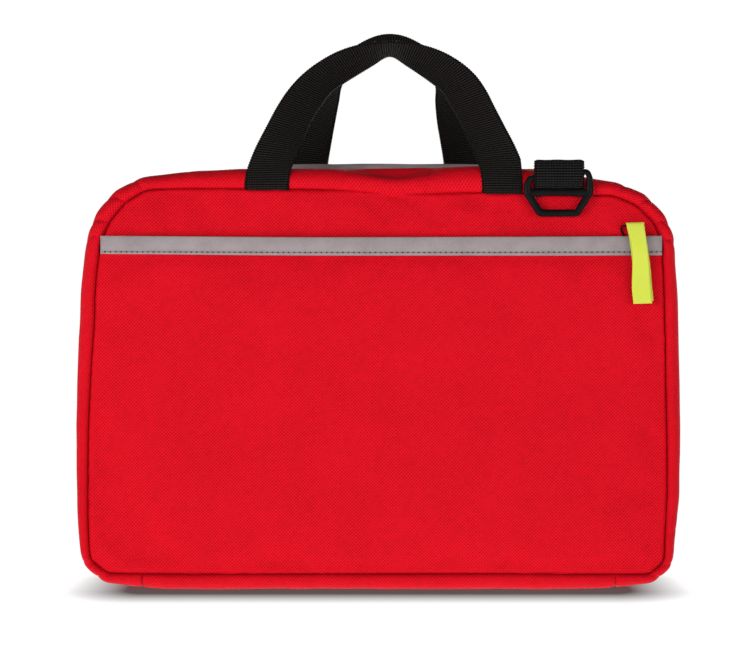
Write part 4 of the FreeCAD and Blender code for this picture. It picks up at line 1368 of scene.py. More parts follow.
def paper_mat(name, col, col2, rough=0.6, scale=200.0):
    k = Nodes(name)
    f = k.noise(k.obj(), scale, 4.0)
    g = k.noise(k.obj(), 1500.0, 2.0)
    big = k.noise(k.obj(), 40.0, 2.0)
    c = k.mix(k.remap(f, 0.3, 0.7, 0, 1), col2, col)
    c = k.mix(k.remap(big, 0.35, 0.65, 0, 0.3), c, col2)
    k.set(Base_Color=c, Roughness=k.remap(big, 0.3, 0.7, rough - 0.08, rough + 0.1),
          Normal=k.bump(k.math("ADD", f, k.math("MULTIPLY", g, 0.3)), 0.08, 0.7), Specular_IOR_Level=0.35)
    return k.m


def gauze_mat():
    k = Nodes("gauze_cloth")
    c = k.n("ShaderNodeTexCoord")
    sp = k.n("ShaderNodeSeparateXYZ")
    k.put(sp.inputs[0], c.outputs["Object"])
    a = k.thread(k.math("ADD", sp.outputs[0], sp.outputs[1]), 0.0009)
    b = k.thread(sp.outputs[2], 0.0007)
    h = k.math("MAXIMUM", a, b)
    big = k.noise(c.outputs["Object"], 120.0, 3.0)
    col = k.mix(k.remap(h, 0.3, 1.0, 0, 1), (0.42, 0.39, 0.34, 1), (0.62, 0.59, 0.54, 1))
    k.set(Base_Color=k.mix(k.remap(big, 0.35, 0.7, 0, 0.3), col, (0.66, 0.63, 0.58, 1)), Roughness=0.85,
          Normal=k.bump(h, 0.2, 0.8), Specular_IOR_Level=0.1, Sheen_Weight=0.1)
    return k.m


def metal_mat(name, col, rough, brush=0.0):
    k = Nodes(name)
    c = k.n("ShaderNodeTexCoord")
    mp = k.n("ShaderNodeMapping")
    k.put(mp.inputs["Vector"], c.outputs["Object"])
    mp.inputs["Scale"].default_value = (900.0, 900.0, 60.0)
    f = k.noise(mp.outputs[0], 2.0, 3.0)
    big = k.noise(c.outputs["Object"], 90.0, 3.0)
    k.set(Base_Color=k.mix(k.remap(big, 0.35, 0.7, 0, 0.35), col, (col[0] * 0.7, col[1] * 0.7, col[2] * 0.72, 1)), Metallic=1.0,
          Roughness=k.remap(f, 0.3, 0.7, rough - 0.06, rough + 0.12), Normal=k.bump(f, 0.02 + brush, 0.5))
    return k.m


def foil_mat():
    k = Nodes("foil_film")
    f = k.noise(k.obj(), 85.0, 3.0, 0.55)
    g = k.noise(k.obj(), 420.0, 2.0)
    k.set(Base_Color=k.mix(k.remap(f, 0.3, 0.7, 0, 1), (0.36, 0.365, 0.38, 1), (0.50, 0.50, 0.52, 1)), Metallic=0.85,
          Roughness=k.remap(g, 0.3, 0.7, 0.30, 0.42), Normal=k.bump(k.math("ADD", f, k.math("MULTIPLY", g, 0.10)), 0.30, 0.6))
    return k.m


def net_mat():
    k = Nodes("net_yarn")
    c = k.n("ShaderNodeTexCoord")
    f = k.noise(c.outputs["Object"], 1800.0, 3.0)
    k.set(Base_Color=k.mix(k.remap(f, 0.3, 0.7, 0, 1), (0.010, 0.010, 0.011, 1), (0.035, 0.035, 0.037, 1)), Roughness=0.6,
          Normal=k.bump(f, 0.08, 0.8), Specular_IOR_Level=0.3)
    return k.m


M_PAPER = paper_mat("wrap_paper", (0.62, 0.60, 0.56, 1), (0.52, 0.50, 0.46, 1))
M_BLUEWRAP = paper_mat("wrap_blue", (0.050, 0.150, 0.330, 1), (0.035, 0.110, 0.260, 1), 0.45)
M_GREENWRAP = paper_mat("wrap_green", (0.10, 0.30, 0.22, 1), (0.07, 0.23, 0.17, 1), 0.45)
M_CARD = paper_mat("card", (0.60, 0.57, 0.52, 1), (0.55, 0.52, 0.47, 1), 0.55, 500.0)
M_CARDBAND = paper_mat("card_band", (0.33, 0.014, 0.020, 1), (0.26, 0.010, 0.015, 1), 0.5, 500.0)
M_TAPECLOTH = paper_mat("tape_cloth", (0.62, 0.50, 0.38, 1), (0.52, 0.41, 0.30, 1), 0.75, 1400.0)
M_GAUZE = gauze_mat()
M_STEEL = metal_mat("steel_brushed", (0.42, 0.42, 0.43, 1), 0.26)
M_RIVET = metal_mat("steel_rivet", (0.48, 0.48, 0.49, 1), 0.20)
M_FOIL = foil_mat()
M_NET = net_mat()

# =====================================================================
# main zipper: tape, coil teeth, stitching; all follow the gusset's edge
# =====================================================================


def edge_line(k, off, lo, hi):
    """Points of the gusset's edge: k of its reach plus off, between two indices."""
    P = S_PTS + S_NRM * (S_W * k + off)[:, None]
    P = np.column_stack([P, S_NRM])
    return seg(P, lo, hi)


def zip_side(rear):
    sg = 1 if rear else -1
    E = edge_line(0.955, -1.5, I_LEFT + 6, I_RIGHT - 6)
    d = np.r_[0, np.cumsum(np.linalg.norm(np.diff(E[:, :2], axis=0), axis=1))]
    body = "rear_shell" if rear else "front_shell"
    tag = "rear" if rear else "front"
    # tape
    prof = [(-1.4, 12.0), (-1.1, 9.0), (-0.75, 6.2), (-0.35, 4.0), (-0.15, 2.4), (-0.2, 1.2), (-0.6, 0.9), (-0.65, 1.2), (-0.6, 2.4),
            (-0.85, 4.0), (-1.25, 6.2), (-1.6, 9.0), (-1.8, 12.0)]
    P = np.zeros((len(E), len(prof), 3))
    uv = np.zeros((len(E), len(prof), 2))
    for j, (o_, y) in enumerate(prof):
        P[:, j, 0] = E[:, 0] + E[:, 2] * o_
        P[:, j, 1] = sg * y
        P[:, j, 2] = E[:, 1] + E[:, 3] * o_
        uv[:, j] = np.column_stack([d, np.full(len(E), y)])
    t = grid_object("main_tape_" + tag, P, uv, closed_m=True)
    close_and_fix(t)
    mat(t, M_ZTAPE)
    place(t, body, "zip_tape", "main_zip_tape_" + tag)
    # coil teeth, half a pitch out of step with the other side
    pitch = 1.35
    verts, faces = [], []
    s = 2.0 + (pitch / 2 if rear else 0)
    while s < d[-1] - 2.0:
        x, z = np.interp(s, d, E[:, 0]), np.interp(s, d, E[:, 1])
        nx, nz = np.interp(s, d, E[:, 2]), np.interp(s, d, E[:, 3])
        L = math.hypot(nx, nz)
        nx, nz = nx / L, nz / L
        tx, tz = nz, -nx
        base = len(verts)
        rings = [(2.3, 0.0, 0.30, 0.30), (2.1, 0.25, 0.42, 0.42), (1.2, 0.50, 0.40, 0.46), (0.35, 0.50, 0.44, 0.46), (-0.2, 0.42, 0.58, 0.46),
                 (-0.55, 0.34, 0.50, 0.40), (-0.72, 0.3, 0.22, 0.2)]
        for yy_, up, ra, rb in rings:
            for q in range(8):
                a_ = 2 * math.pi * q / 8
                da, db = math.cos(a_) * ra, math.sin(a_) * rb + up
                verts.append((x + tx * da + nx * db, sg * yy_, z + tz * da + nz * db))
        for i in range(len(rings) - 1):
            for q in range(8):
                q2 = (q + 1) % 8
                faces.append((base + i * 8 + q, base + i * 8 + q2, base + (i + 1) * 8 + q2, base + (i + 1) * 8 + q))
        faces.append(tuple(base + q for q in range(8))[::-1])
        faces.append(tuple(base + (len(rings) - 1) * 8 + q for q in range(8)))
        s += pitch
    c = mesh_object("main_coil_" + tag, verts, faces)
    close_and_fix(c)
    mat(c, M_COIL)
    place(c, body, "zip_coil", "main_zip_coil_" + tag)
    # a row of topstitching on the gusset along the zipper
    for k_, y in ((0.985, 7.9),):
        G = edge_line(k_, -0.1, I_LEFT + 3, I_RIGHT - 3)
        dd = np.r_[0, np.cumsum(np.linalg.norm(np.diff(G[:, :2], axis=0), axis=1))]
        pairs, nrms = [], []
        s = 1.0
        while s < dd[-1] - 3:
            a_ = (np.interp(s, dd, G[:, 0]), sg * y, np.interp(s, dd, G[:, 1]))
            b_ = (np.interp(s + 2.1, dd, G[:, 0]), sg * y, np.interp(s + 2.1, dd, G[:, 1]))
            pairs.append((a_, b_))
            nrms.append((np.interp(s, dd, G[:, 2]), 0, np.interp(s, dd, G[:, 3])))
            s += 3.1
        st_ = capsule_chain("zip_topstitch_" + tag, pairs, nrms, 2.1, 0.26, M_STITCH_RED)
        place(st_, body, "red_fabric")


zip_side(False)
zip_side(True)


# ---------------------------------------------------------------- lining
def lining(rear):
    sg = 1 if rear else -1
    tag = "rear" if rear else "front"
    body = tag + "_shell"
    rows = [(0.80, -2.0, 7.5), (0.84, -2.4, 4.8), (0.80, -3.2, 3.4), (0.74, -4.0, 3.2), (0.66, -4.4, 4.2), (0.62, -4.6, 8.0), (0.60, -4.9, 14.0), (0.58, -5.1, 21.0),
            (0.52, -5.4, 27.0), (0.40, -6.0, 30.4), (0.20, -7.0, 32.0), (0.0, -8.6, 32.55), (0.0, -12.0, 32.7)]
    rows = catmull(np.array(rows), 44)
    n = len(S_PTS)
    P = np.zeros((n, len(rows), 3))
    uv = np.zeros((n, len(rows), 2))
    for j, (f, off, y) in enumerate(rows):
        r = S_W * f + off
        un = noise2(S_LEN, np.full(n, y * 1.7), 61 + sg, 24.0) * 0.55 * min(1.0, max(0.0, (y - 6) / 8))
        P[:, j, 0] = S_PTS[:, 0] + S_NRM[:, 0] * (r + un)
        P[:, j, 2] = S_PTS[:, 1] + S_NRM[:, 1] * (r + un)
        P[:, j, 1] = sg * y
        uv[:, j] = np.column_stack([S_LEN, np.full(n, y)])
    wall = grid_object("lining_wall_" + tag, P, uv, closed_n=True)
    O = inset_outline(11.8)
    cl, cr = corner_index(O, -146, 22), corner_index(O, 146, 22)
    tl, tr = corner_index(O, -136, 205), corner_index(O, 136, 203)
    G = coons(seg(O, cl, tl), seg(O, tr, cr)[::-1], seg(O, cr, cl)[::-1], seg(O, tl, tr), 150, 110)
    x, z = G[..., 0], G[..., 1]
    d = nearest_seam(x, z)
    y = 32.7 + noise2(x, z, 67 + sg, 40.0) * 0.35 * np.clip((d - 12) / 20, 0, 1) + 0.25 * np.clip((d - 12) / 30, 0, 1)
    Q = np.dstack([x, sg * y, z])
    floor_ = grid_object("lining_back_" + tag, Q, np.dstack([x + 400, z]))
    o = join("lining_cloth_" + tag, [wall, floor_])
    mat(o, M_LINING)
    solidify(o, 0.35, 0.0)
    place(o, body, "lining_fabric", "%s_lining" % tag, "%s_foam_board" % tag)
    # bound seam allowance round the back wall
    E = np.column_stack([S_PTS - S_NRM * 7.6, S_NRM])
    rings = 14
    V1 = np.zeros((n, rings, 3))
    U1 = np.zeros((n, rings, 2))
    w_ = noise2(S_LEN, S_LEN * 0, 71, 15.0) * 0.25
    for q in range(rings):
        a_ = 2 * math.pi * q / rings
        c_, s_ = math.cos(a_), math.sin(a_)
        oo = math.copysign(abs(c_) ** 0.6, c_) * 3.4 + w_
        yy_ = 31.4 - math.copysign(abs(s_) ** 0.8, s_) * 0.85
        V1[:, q, 0] = E[:, 0] + E[:, 2] * oo
        V1[:, q, 2] = E[:, 1] + E[:, 3] * oo
        V1[:, q, 1] = sg * (yy_ - (oo + 3.4) * 0.12)
        U1[:, q] = np.column_stack([np.full(n, q), S_LEN])
    bnd = grid_object("binding_cloth_" + tag, V1, U1, closed_n=True, closed_m=True)
    close_and_fix(bnd)
    mat(bnd, M_BIND)
    place(bnd, body, "binding", "%s_seam_binding" % tag)


lining(False)
lining(True)


# ---------------------------------------------------------------- sliders
def main_slider(name, x, body, way):
    y = 4.3
    shape = [(x - way * 5.1, -2.4), (x - way * 5.1, 2.4), (x - way * 3.6, 3.6), (x, y), (x + way * 3.4, y), (x + way * 5.0, 3.0), (x + way * 4.2, 1.0), (x + way * 3.0, 0.0),
             (x + way * 4.2, -1.0), (x + way * 5.0, -3.0), (x + way * 3.4, -y), (x, -y), (x - way * 3.6, -3.6)]
    shape = rounded_poly(shape, 1.0, 4)
    top = prism(name, [tuple(p) for p in shape], "z", 232.1, 233.2, 0.35, 3, M_SLIDER)
    parts = [top]
    for sy in (-1, 1):
        rail = bar_path(name + "_rail", [(x - way * 3.4, sy * 3.4, 231.9), (x, sy * 4.0, 231.75), (x + way * 3.2, sy * 4.0, 231.8)], 0.42, 0.5, (0, 0, 1), M_SLIDER, n=20)
        parts.append(rail)
    hump = bar_path(name + "_bail", [(x - 2.9, 0, 232.9), (x - 2.9, 0, 233.9), (x - 2.4, 0, 234.5), (x - 1.2, 0, 234.68), (x + 1.2, 0, 234.68), (x + 2.4, 0, 234.5),
                                     (x + 2.9, 0, 233.9), (x + 2.9, 0, 232.9)], 0.24, 1.35, (0, 1, 0), M_SLIDER, n=60)
    parts.append(hump)
    o = join(name, parts)
    mat(o, M_SLIDER)
    return o


def main_pull(name, x, way):
    z = 233.85
    loop = bar_path(name, [(x + way * 0.55, -2.4, z), (x + way * 0.55, 2.4, z), (x + way * 4.5, 2.5, z), (x + way * 9.0, 2.4, z - 0.1), (x + way * 11.5, 1.4, z - 0.2),
                           (x + way * 11.5, -1.4, z - 0.2), (x + way * 9.0, -2.4, z - 0.1), (x + way * 4.5, -2.5, z)], 0.36, 0.36, (0, 0, 1), M_WEB, closed=True, n=120, sides=10, square=2.0)
    zt = 233.5
    rib = ribbon(name + "_ribbon", [(x + way * 9.5, 0, zt + 0.2), (x + way * 14, 0, zt - 0.05), (x + way * 22, 0, zt - 0.2), (x + way * 30, 0, zt - 0.1), (x + way * 33.6, 0, zt)],
                 [(0, 1, 0)] * 5, [8.9, 9.1, 9.1, 9.1, 9.2], 1.0, M_NEON)
    return loop, rib


for nm, x, way, body, pbody, node, pnode in (
        ("main_slider_l", 64.6, 1, "main_slider_left_body", "main_pull_left_body", "main_slider_left", "main_pull_left"),
        ("main_slider_r", 75.4, -1, "main_slider_right_body", "main_pull_right_body", "main_slider_right", "main_pull_right")):
    o = main_slider(nm, x, body, way)
    place(o, body, "slider_metal", node)
    lp, rb = main_pull(nm.replace("slider", "pull"), x, -way)
    place(lp, pbody, "webbing", pnode)
    place(rb, pbody, "neon_ribbon")

# pocket slider behind the flap, with its bail for the cord
ps = [prism("pocket_slider_plate", [tuple(p) for p in rounded_poly([(132.7, 186.6), (136.0, 186.2), (142.4, 186.9), (142.4, 192.3), (136.0, 193.0), (132.7, 192.6)], 0.9, 4)], "y", -38.85, -37.85, 0.3, 3, M_SLIDER),
      bar_path("pocket_slider_bail", [(136.2, -38.6, 188.6), (136.2, -39.0, 188.85), (136.2, -39.2, 189.5), (136.2, -39.2, 191.0), (136.2, -39.0, 191.6), (136.2, -38.6, 191.8)], 0.22, 1.0, (1, 0, 0), M_SLIDER, n=40)]
o = join("pocket_slider_enamel", ps)
mat(o, M_SLIDER)
place(o, "pocket_slider_body", "slider_metal", "pocket_slider")


# pocket zipper behind the flap
def pocket_zip():
    parts = []
    for z0, z1 in ((190.35, 194.0), (184.6, 188.85)):
        n = 220
        prof = [(z0, -36.55), (z0 + 0.3, -36.95), ((z0 + z1) / 2, -37.0), (z1 - 0.3, -36.95), (z1, -36.55)]
        P = np.zeros((n, len(prof), 3))
        uv = np.zeros((n, len(prof), 2))
        for i in range(n):
            x = -147.5 + 295.0 * i / (n - 1)
            for j, (z, y) in enumerate(prof):
                P[i, j] = (x, y + 0.12 * math.sin(x / 9.0), z)
                uv[i, j] = (x + 200, z)
        parts.append(grid_object("pocket_tape", P, uv))
    t = join("pocket_tape_cloth", parts)
    mat(t, M_ZTAPE)
    solidify(t, 0.4, 0.0)
    place(t, "front_shell", "zip_tape", "pocket_zip_tapes")
    pairs, nrms = [], []
    x = -146.0
    while x < 146.0:
        pairs.append(((x, -37.25, 188.9), (x, -37.25, 190.3)))
        nrms.append((0, -1, 0))
        x += 1.3
    c = capsule_chain("pocket_coil_teeth", pairs, nrms, 1.4, 0.42, M_COIL)
    place(c, "front_shell", "zip_coil", "pocket_zip_coil")
    n, m = 120, 70
    x = np.linspace(-139, 139, n)[:, None] * np.ones((1, m))
    z = np.linspace(22, 200, m)[None, :] * np.ones((n, 1))
    y = -36.15 + 0.12 * noise2(x, z, 77, 30.0)
    bk = grid_object("pocket_back_cloth", np.dstack([x, y, z]), np.dstack([x + 300, z]))
    mat(bk, M_LINING)
    solidify(bk, 0.4, 0.0)
    place(bk, "front_shell", "lining_fabric", "pocket_back_panel")


pocket_zip()


# =====================================================================
# front half: net pocket with a glove pack and a foil blanket
# =====================================================================


def net_panel(name, x0, x1, z0, z1, y, cell=4.2, yarn=0.42, bulge=None):
    """A knitted net: a hexagonal grid with open cells."""
    bm = bmesh.new()
    w = cell * math.sqrt(3) / 2
    rows = int((z1 - z0) / (cell * 0.75)) + 2
    cols = int((x1 - x0) / w) + 2
    cache = {}

    def vert(px, pz):
        key = (round(px * 50), round(pz * 50))
        if key not in cache:
            cache[key] = bm.verts.new((px, 0, pz))
        return cache[key]
    for r in range(rows):
        for c in range(cols):
            cx = x0 + (c + 0.5 * (r % 2)) * w
            cz = z0 + r * cell * 0.75
            pts = []
            for k in range(6):
                a_ = math.radians(60 * k + 30)
                px = min(max(cx + cell / 2 * math.cos(a_), x0), x1)
                pz = min(max(cz + cell / 2 * math.sin(a_), z0), z1)
                pts.append(vert(px, pz))
            uniq = []
            for v in pts:
                if v not in uniq:
                    uniq.append(v)
            if len(uniq) >= 3:
                try:
                    bm.faces.new(uniq)
                except ValueError:
                    pass
    bmesh.ops.remove_doubles(bm, verts=bm.verts, dist=0.02)
    bmesh.ops.dissolve_degenerate(bm, dist=0.01, edges=bm.edges)
    res = bmesh.ops.inset_individual(bm, faces=list(bm.faces), thickness=yarn, use_even_offset=True)
    ring = set(res["faces"])
    bmesh.ops.delete(bm, geom=[f for f in bm.faces if f not in ring], context="FACES")
    for v in bm.verts:
        x, z = v.co.x, v.co.z
        yy_ = y + (bulge(x, z) if bulge else 0)
        v.co = (x * MM, yy_ * MM, z * MM)
    me = bpy.data.meshes.new(name)
    bm.to_mesh(me)
    bm.free()
    o = link(bpy.data.objects.new(name, me))
    mat(o, M_NET)
    solidify(o, 0.35, 0.0)
    return o


def net_bulge(x, z):
    g = math.exp(-((x + 69) / 50) ** 2 - ((z - 70) / 52) ** 2)
    f = math.exp(-((x - 66) / 55) ** 2 - ((z - 66) / 48) ** 2)
    return 1.0 * g + 0.9 * f - 0.5 * math.exp(-((z - 165) / 14.0) ** 2) * math.cos(x / 46.0) + 0.25 * math.sin(x / 11.0) * math.exp(-((z - 150) / 40) ** 2)


net = net_panel("net_pocket_front", -139, 139, 25, 166, -21.2, bulge=net_bulge)
place(net, "front_shell", "mesh", "mesh_pocket")


def binding_frame(name, corners, w, y0, y1, material, seed):
    """Bars of folded binding, each a rounded strip with a stitched groove."""
    parts = []
    for (ax, az), (bx, bz) in corners:
        n = max(24, int(math.hypot(bx - ax, bz - az) / 1.2))
        horiz = abs(bx - ax) > abs(bz - az)
        prof = [(-0.5, 0.0), (-0.46, 0.75), (-0.30, 1.0), (-0.16, 0.86), (0.0, 1.0), (0.30, 1.0), (0.46, 0.75), (0.5, 0.0), (0.3, -0.12), (-0.3, -0.12)]
        P = np.zeros((n, len(prof), 3))
        uv = np.zeros((n, len(prof), 2))
        for i in range(n):
            t = i / (n - 1)
            cx, cz = ax + (bx - ax) * t, az + (bz - az) * t
            L = math.hypot(bx - ax, bz - az) * t
            wob = float(noise2(L, 0.0, seed, 17.0)) * 0.3
            for j, (a_, h) in enumerate(prof):
                yy_ = y0 + (y1 - y0) * h + wob * 0.25
                if horiz:
                    P[i, j] = (cx, yy_, cz + a_ * w + wob)
                else:
                    P[i, j] = (cx + a_ * w + wob, yy_, cz)
                uv[i, j] = (L, a_ * w)
        o = grid_object(name, P, uv, closed_m=True)
        close_and_fix(o)
        parts.append(o)
    o = join(name, parts)
    mat(o, material)
    return o


ed = binding_frame("net_pocket_binding", [((-140.5, 165.5), (140.5, 165.5)), ((-137, 27), (-137, 165)), ((137, 27), (137, 165)), ((-140.5, 27.2), (140.5, 27.2))],
                   8.2, -21.05, -20.0, M_BIND, 5)
place(ed, "front_shell", "binding", "mesh_pocket_edging")


def gusset_wall(name, runs, y0, y1, seed, material):
    """Soft pleated walls of a pocket between a face and the lining."""
    parts = []
    for (ax, az), (bx, bz), (nx, nz) in runs:
        n, m = max(30, int(math.hypot(bx - ax, bz - az) / 2)), 14
        P = np.zeros((n, m, 3))
        uv = np.zeros((n, m, 2))
        for i in range(n):
            t = i / (n - 1)
            L = math.hypot(bx - ax, bz - az) * t
            for j in range(m):
                q = j / (m - 1)
                fold = 1.3 * math.sin(q * math.pi) * (0.6 + 0.4 * float(noise2(L, q * 20, seed, 19.0)))
                P[i, j] = (ax + (bx - ax) * t + nx * fold, y0 + (y1 - y0) * q, az + (bz - az) * t + nz * fold)
                uv[i, j] = (L, q * abs(y1 - y0))
        parts.append(grid_object(name, P, uv))
    o = join(name, parts)
    mat(o, material)
    solidify(o, 0.4, 0.0)
    return o


gw = gusset_wall("net_pocket_walls", [((-139.5, 26), (-139.5, 166), (1, 0)), ((139.5, 26), (139.5, 166), (-1, 0)), ((-139.5, 25), (139.5, 25), (0, 1))], -21.3, -32.3, 9, M_LINING)
place(gw, "front_shell", "lining_fabric", "mesh_pocket_gusset")


def pillow(name, box, seal=4.0, seed=1, wrinkle=0.5, zig=0.0, power=2.6, nu=70, nv=70, seal_sides=False, t_edge=0.35, lines=False):
    """A sealed soft packet filling a box (x0, x1, y0, y1, z0, z1): crowned faces, pinched seals, wrinkles."""
    x0, x1, y0, y1, z0, z1 = box
    yc, T = (y0 + y1) / 2, (y1 - y0)
    verts = np.zeros((2, nu, nv, 3))
    U = np.linspace(-1, 1, nu)[:, None] * np.ones((1, nv))
    V_ = np.linspace(-1, 1, nv)[None, :] * np.ones((nu, 1))
    U = np.sin(U * math.pi / 2) * 0.5 + U * 0.5
    V_ = np.sin(V_ * math.pi / 2) * 0.5 + V_ * 0.5
    hx, hz = (x1 - x0) / 2, (z1 - z0) / 2
    ex = (hx * (1 - np.abs(U)))
    ez = (hz * (1 - np.abs(V_)))
    sx = seal if seal_sides else 0.6
    fx = np.clip((ex - sx) / (hx - sx), 0, 1)
    fz = np.clip((ez - seal) / (hz - seal), 0, 1)
    body = (1 - (1 - fx) ** power) ** 0.5 * (1 - (1 - fz) ** power) ** 0.5
    X_ = (x0 + x1) / 2 + U * hx
    Z_ = (z0 + z1) / 2 + V_ * hz
    pull = 1.0 - 0.018 * body.max(axis=1, keepdims=True) * (1 - np.abs(V_) ** 2)
    X_ = (x0 + x1) / 2 + (X_ - (x0 + x1) / 2) * (1.0 - 0.02 * (1 - V_ ** 2)) * 1.0
    Z_ = (z0 + z1) / 2 + (Z_ - (z0 + z1) / 2) * (1.0 - 0.02 * (1 - U ** 2))
    if zig:
        Z_ = Z_ + np.where(np.abs(V_) > 0.999, np.sign(V_) * -1 * np.abs((X_ / zig) % 1 - 0.5) * 1.6, 0)
    rad = noise2(X_, Z_, seed, 13.0) * 0.6 + noise2(X_ * 0.5, Z_, seed + 3, 6.0) * 0.4
    near = np.exp(-ez / 9.0) * np.sin(X_ / (2.1 + 0.5 * np.sin(X_ / 9.0))) * 0.6
    for f, sg in ((0, -1), (1, 1)):
        w_ = wrinkle * (rad * (1 if f == 0 else 0.8) + near) * np.clip(body * 2.2, 0, 1)
        h = (T / 2 - t_edge / 2 - wrinkle * 0.8) * body + t_edge / 2
        flat = T / 2 - 0.05
        h = np.minimum(h + w_ * (T / 10.0), flat)
        verts[f, ..., 0], verts[f, ..., 2] = X_, Z_
        verts[f, ..., 1] = yc + sg * h
    P = verts.reshape(-1, 3)
    faces = []
    off = nu * nv
    for i in range(nu - 1):
        for j in range(nv - 1):
            a_, b_, c_, d_ = i * nv + j, (i + 1) * nv + j, (i + 1) * nv + j + 1, i * nv + j + 1
            faces.append((a_, b_, c_, d_))
            faces.append((off + a_, off + d_, off + c_, off + b_))
    rim = [i * nv for i in range(nu)] + [(nu - 1) * nv + j for j in range(1, nv)] + [i * nv + nv - 1 for i in range(nu - 2, -1, -1)] + [j for j in range(nv - 2, 0, -1)]
    n = len(rim)
    for q in range(n):
        a_, b_ = rim[q], rim[(q + 1) % n]
        faces.append((a_, off + a_, off + b_, b_))
    uv = np.column_stack([P[:, 0] + 300, P[:, 2]])
    o = mesh_object(name, P, faces, uv)
    bm = bmesh.new()
    bm.from_mesh(o.data)
    bmesh.ops.recalc_face_normals(bm, faces=bm.faces)
    bm.to_mesh(o.data)
    bm.free()
    return o


def inflate(o, pressure=3.0, frames=12, cap=1.4, slack=0.02, limit=None):
    """Swells a closed packet with a short cloth simulation, capped and kept inside a box."""
    me = o.data
    n = len(me.vertices)
    co = np.zeros(n * 3)
    me.vertices.foreach_get("co", co)
    P0 = co.reshape(n, 3).copy()
    c = o.modifiers.new("cloth", "CLOTH")
    st = c.settings
    st.quality = 5
    st.mass = 0.2
    st.tension_stiffness = st.compression_stiffness = 25
    st.shear_stiffness = 8
    st.bending_stiffness = 1.5
    st.use_pressure = True
    st.uniform_pressure_force = pressure
    st.shrink_min = -slack
    st.effector_weights.gravity = 0
    c.collision_settings.use_self_collision = False
    c.point_cache.frame_start, c.point_cache.frame_end = 1, frames
    sc = bpy.context.scene
    for f in range(1, frames + 1):
        sc.frame_set(f)
    dg = bpy.context.evaluated_depsgraph_get()
    ev = o.evaluated_get(dg)
    m2 = ev.to_mesh()
    co2 = np.zeros(len(m2.vertices) * 3)
    m2.vertices.foreach_get("co", co2)
    Q = co2.reshape(n, 3)
    ev.to_mesh_clear()
    o.modifiers.remove(c)
    sc.frame_set(1)
    d = np.nan_to_num(Q - P0) / MM
    d -= d.mean(axis=0)
    L = np.linalg.norm(d, axis=1, keepdims=True)
    d *= cap / np.maximum(L, cap)
    R_ = P0 + d * MM
    if limit is not None:
        x0, x1, y0, y1, z0, z1 = [v * MM for v in limit]
        R_[:, 0] = np.clip(R_[:, 0], x0, x1)
        R_[:, 1] = np.clip(R_[:, 1], y0, y1)
        R_[:, 2] = np.clip(R_[:, 2], z0, z1)
    me.vertices.foreach_set("co", R_.ravel())
    me.update()
    return o


gb = (-124, -14, -31.7, -22.9, 26, 116)
g = inflate(pillow("glove_packet", gb, seal=5, seed=3, wrinkle=0.9, zig=2.4, nu=56, nv=56), limit=gb)
mat(g, M_BLUEWRAP)
place(g, "front_shell", "wrap_blue", "glove_pack", pad=0.5)
fb = (6, 126, -31.7, -22.5, 26, 106)
g = inflate(pillow("foil_blanket_packet", fb, seal=6, seed=5, wrinkle=1.1, zig=2.0, nu=64, nv=56), limit=fb)
mat(g, M_FOIL)
place(g, "front_shell", "foil", "foil_blanket_pack", pad=0.6)

# =====================================================================
# rear half
# =====================================================================


def spiral_roll(name, cx, cy, r, z0, z1, turns, material, gap=0.16):
    """A rolled bandage: one strip wound from the core outwards, closed section."""
    n = int(turns * 44)
    core = 1.6
    pitch = (r - core) / turns
    t = pitch * (1 - gap)
    th = np.linspace(0, 2 * math.pi * turns, n)
    rr = core + pitch * th / (2 * math.pi)
    zs = np.array([z0, z0 + 0.5, z0 + (z1 - z0) * 0.33, z0 + (z1 - z0) * 0.66, z1 - 0.5, z1])
    prof = []
    for k, z in enumerate(zs):
        prof.append((z, 0.5 if 0 < k < len(zs) - 1 else 0.22))
    prof = prof + [(z, -h) for z, h in prof[::-1]]
    P = np.zeros((n, len(prof), 3))
    for j, (z, h) in enumerate(prof):
        ro = np.maximum(rr - pitch * 0.5 + h * t, 0.3)
        wob = 0.25 * np.sin(th * 0.37 + z) * (1 if abs(z - z0) < 1 or abs(z - z1) < 1 else 0.2)
        P[:, j, 0] = cx + ro * np.cos(th)
        P[:, j, 1] = cy + ro * np.sin(th)
        P[:, j, 2] = z + np.where(abs(z - z1) < 1, -1, 1) * np.abs(wob)
    o = grid_object(name, P, np.zeros((n, len(prof), 2)), closed_m=True)
    close_and_fix(o)
    mat(o, material)
    return o


ROLLS = [(-120, 19.0, 12.2, 138, 208), (-89, 19.0, 12.2, 138, 208), (-58, 19.0, 12.2, 138, 208)]
rolls = [spiral_roll("bandage_roll", *q, 9, M_GAUZE) for q in ROLLS]
o = join("bandage_roll_set", rolls)
mat(o, M_GAUZE)
place(o, "rear_shell", "gauze", "bandage_rolls", pad=0.8)
bands = []
for cx, cy, r, _, _ in ROLLS:
    R_ = r + 0.9
    path = [(cx - R_ - 4.5, 31.9), (cx - R_ - 1.2, 31.4), (cx - R_ - 0.15, 28.5), (cx - R_, cy + 4), (cx - R_ * 0.93, cy - 5.0), (cx - R_ * 0.62, cy - 10.3), (cx, cy - R_),
            (cx + R_ * 0.62, cy - 10.3), (cx + R_ * 0.93, cy - 5.0), (cx + R_, cy + 4), (cx + R_ + 0.15, 28.5), (cx + R_ + 1.2, 31.4), (cx + R_ + 1.6, 31.9)]
    bands.append(flat_strap("elastic_band", [(x_, y_, 160.3, x_, y_, 184.7) for x_, y_ in path], 1.0, M_ELASTIC))
o = join("elastic_band_set", bands)
mat(o, M_ELASTIC)
place(o, "rear_shell", "elastic", "elastic_loops")


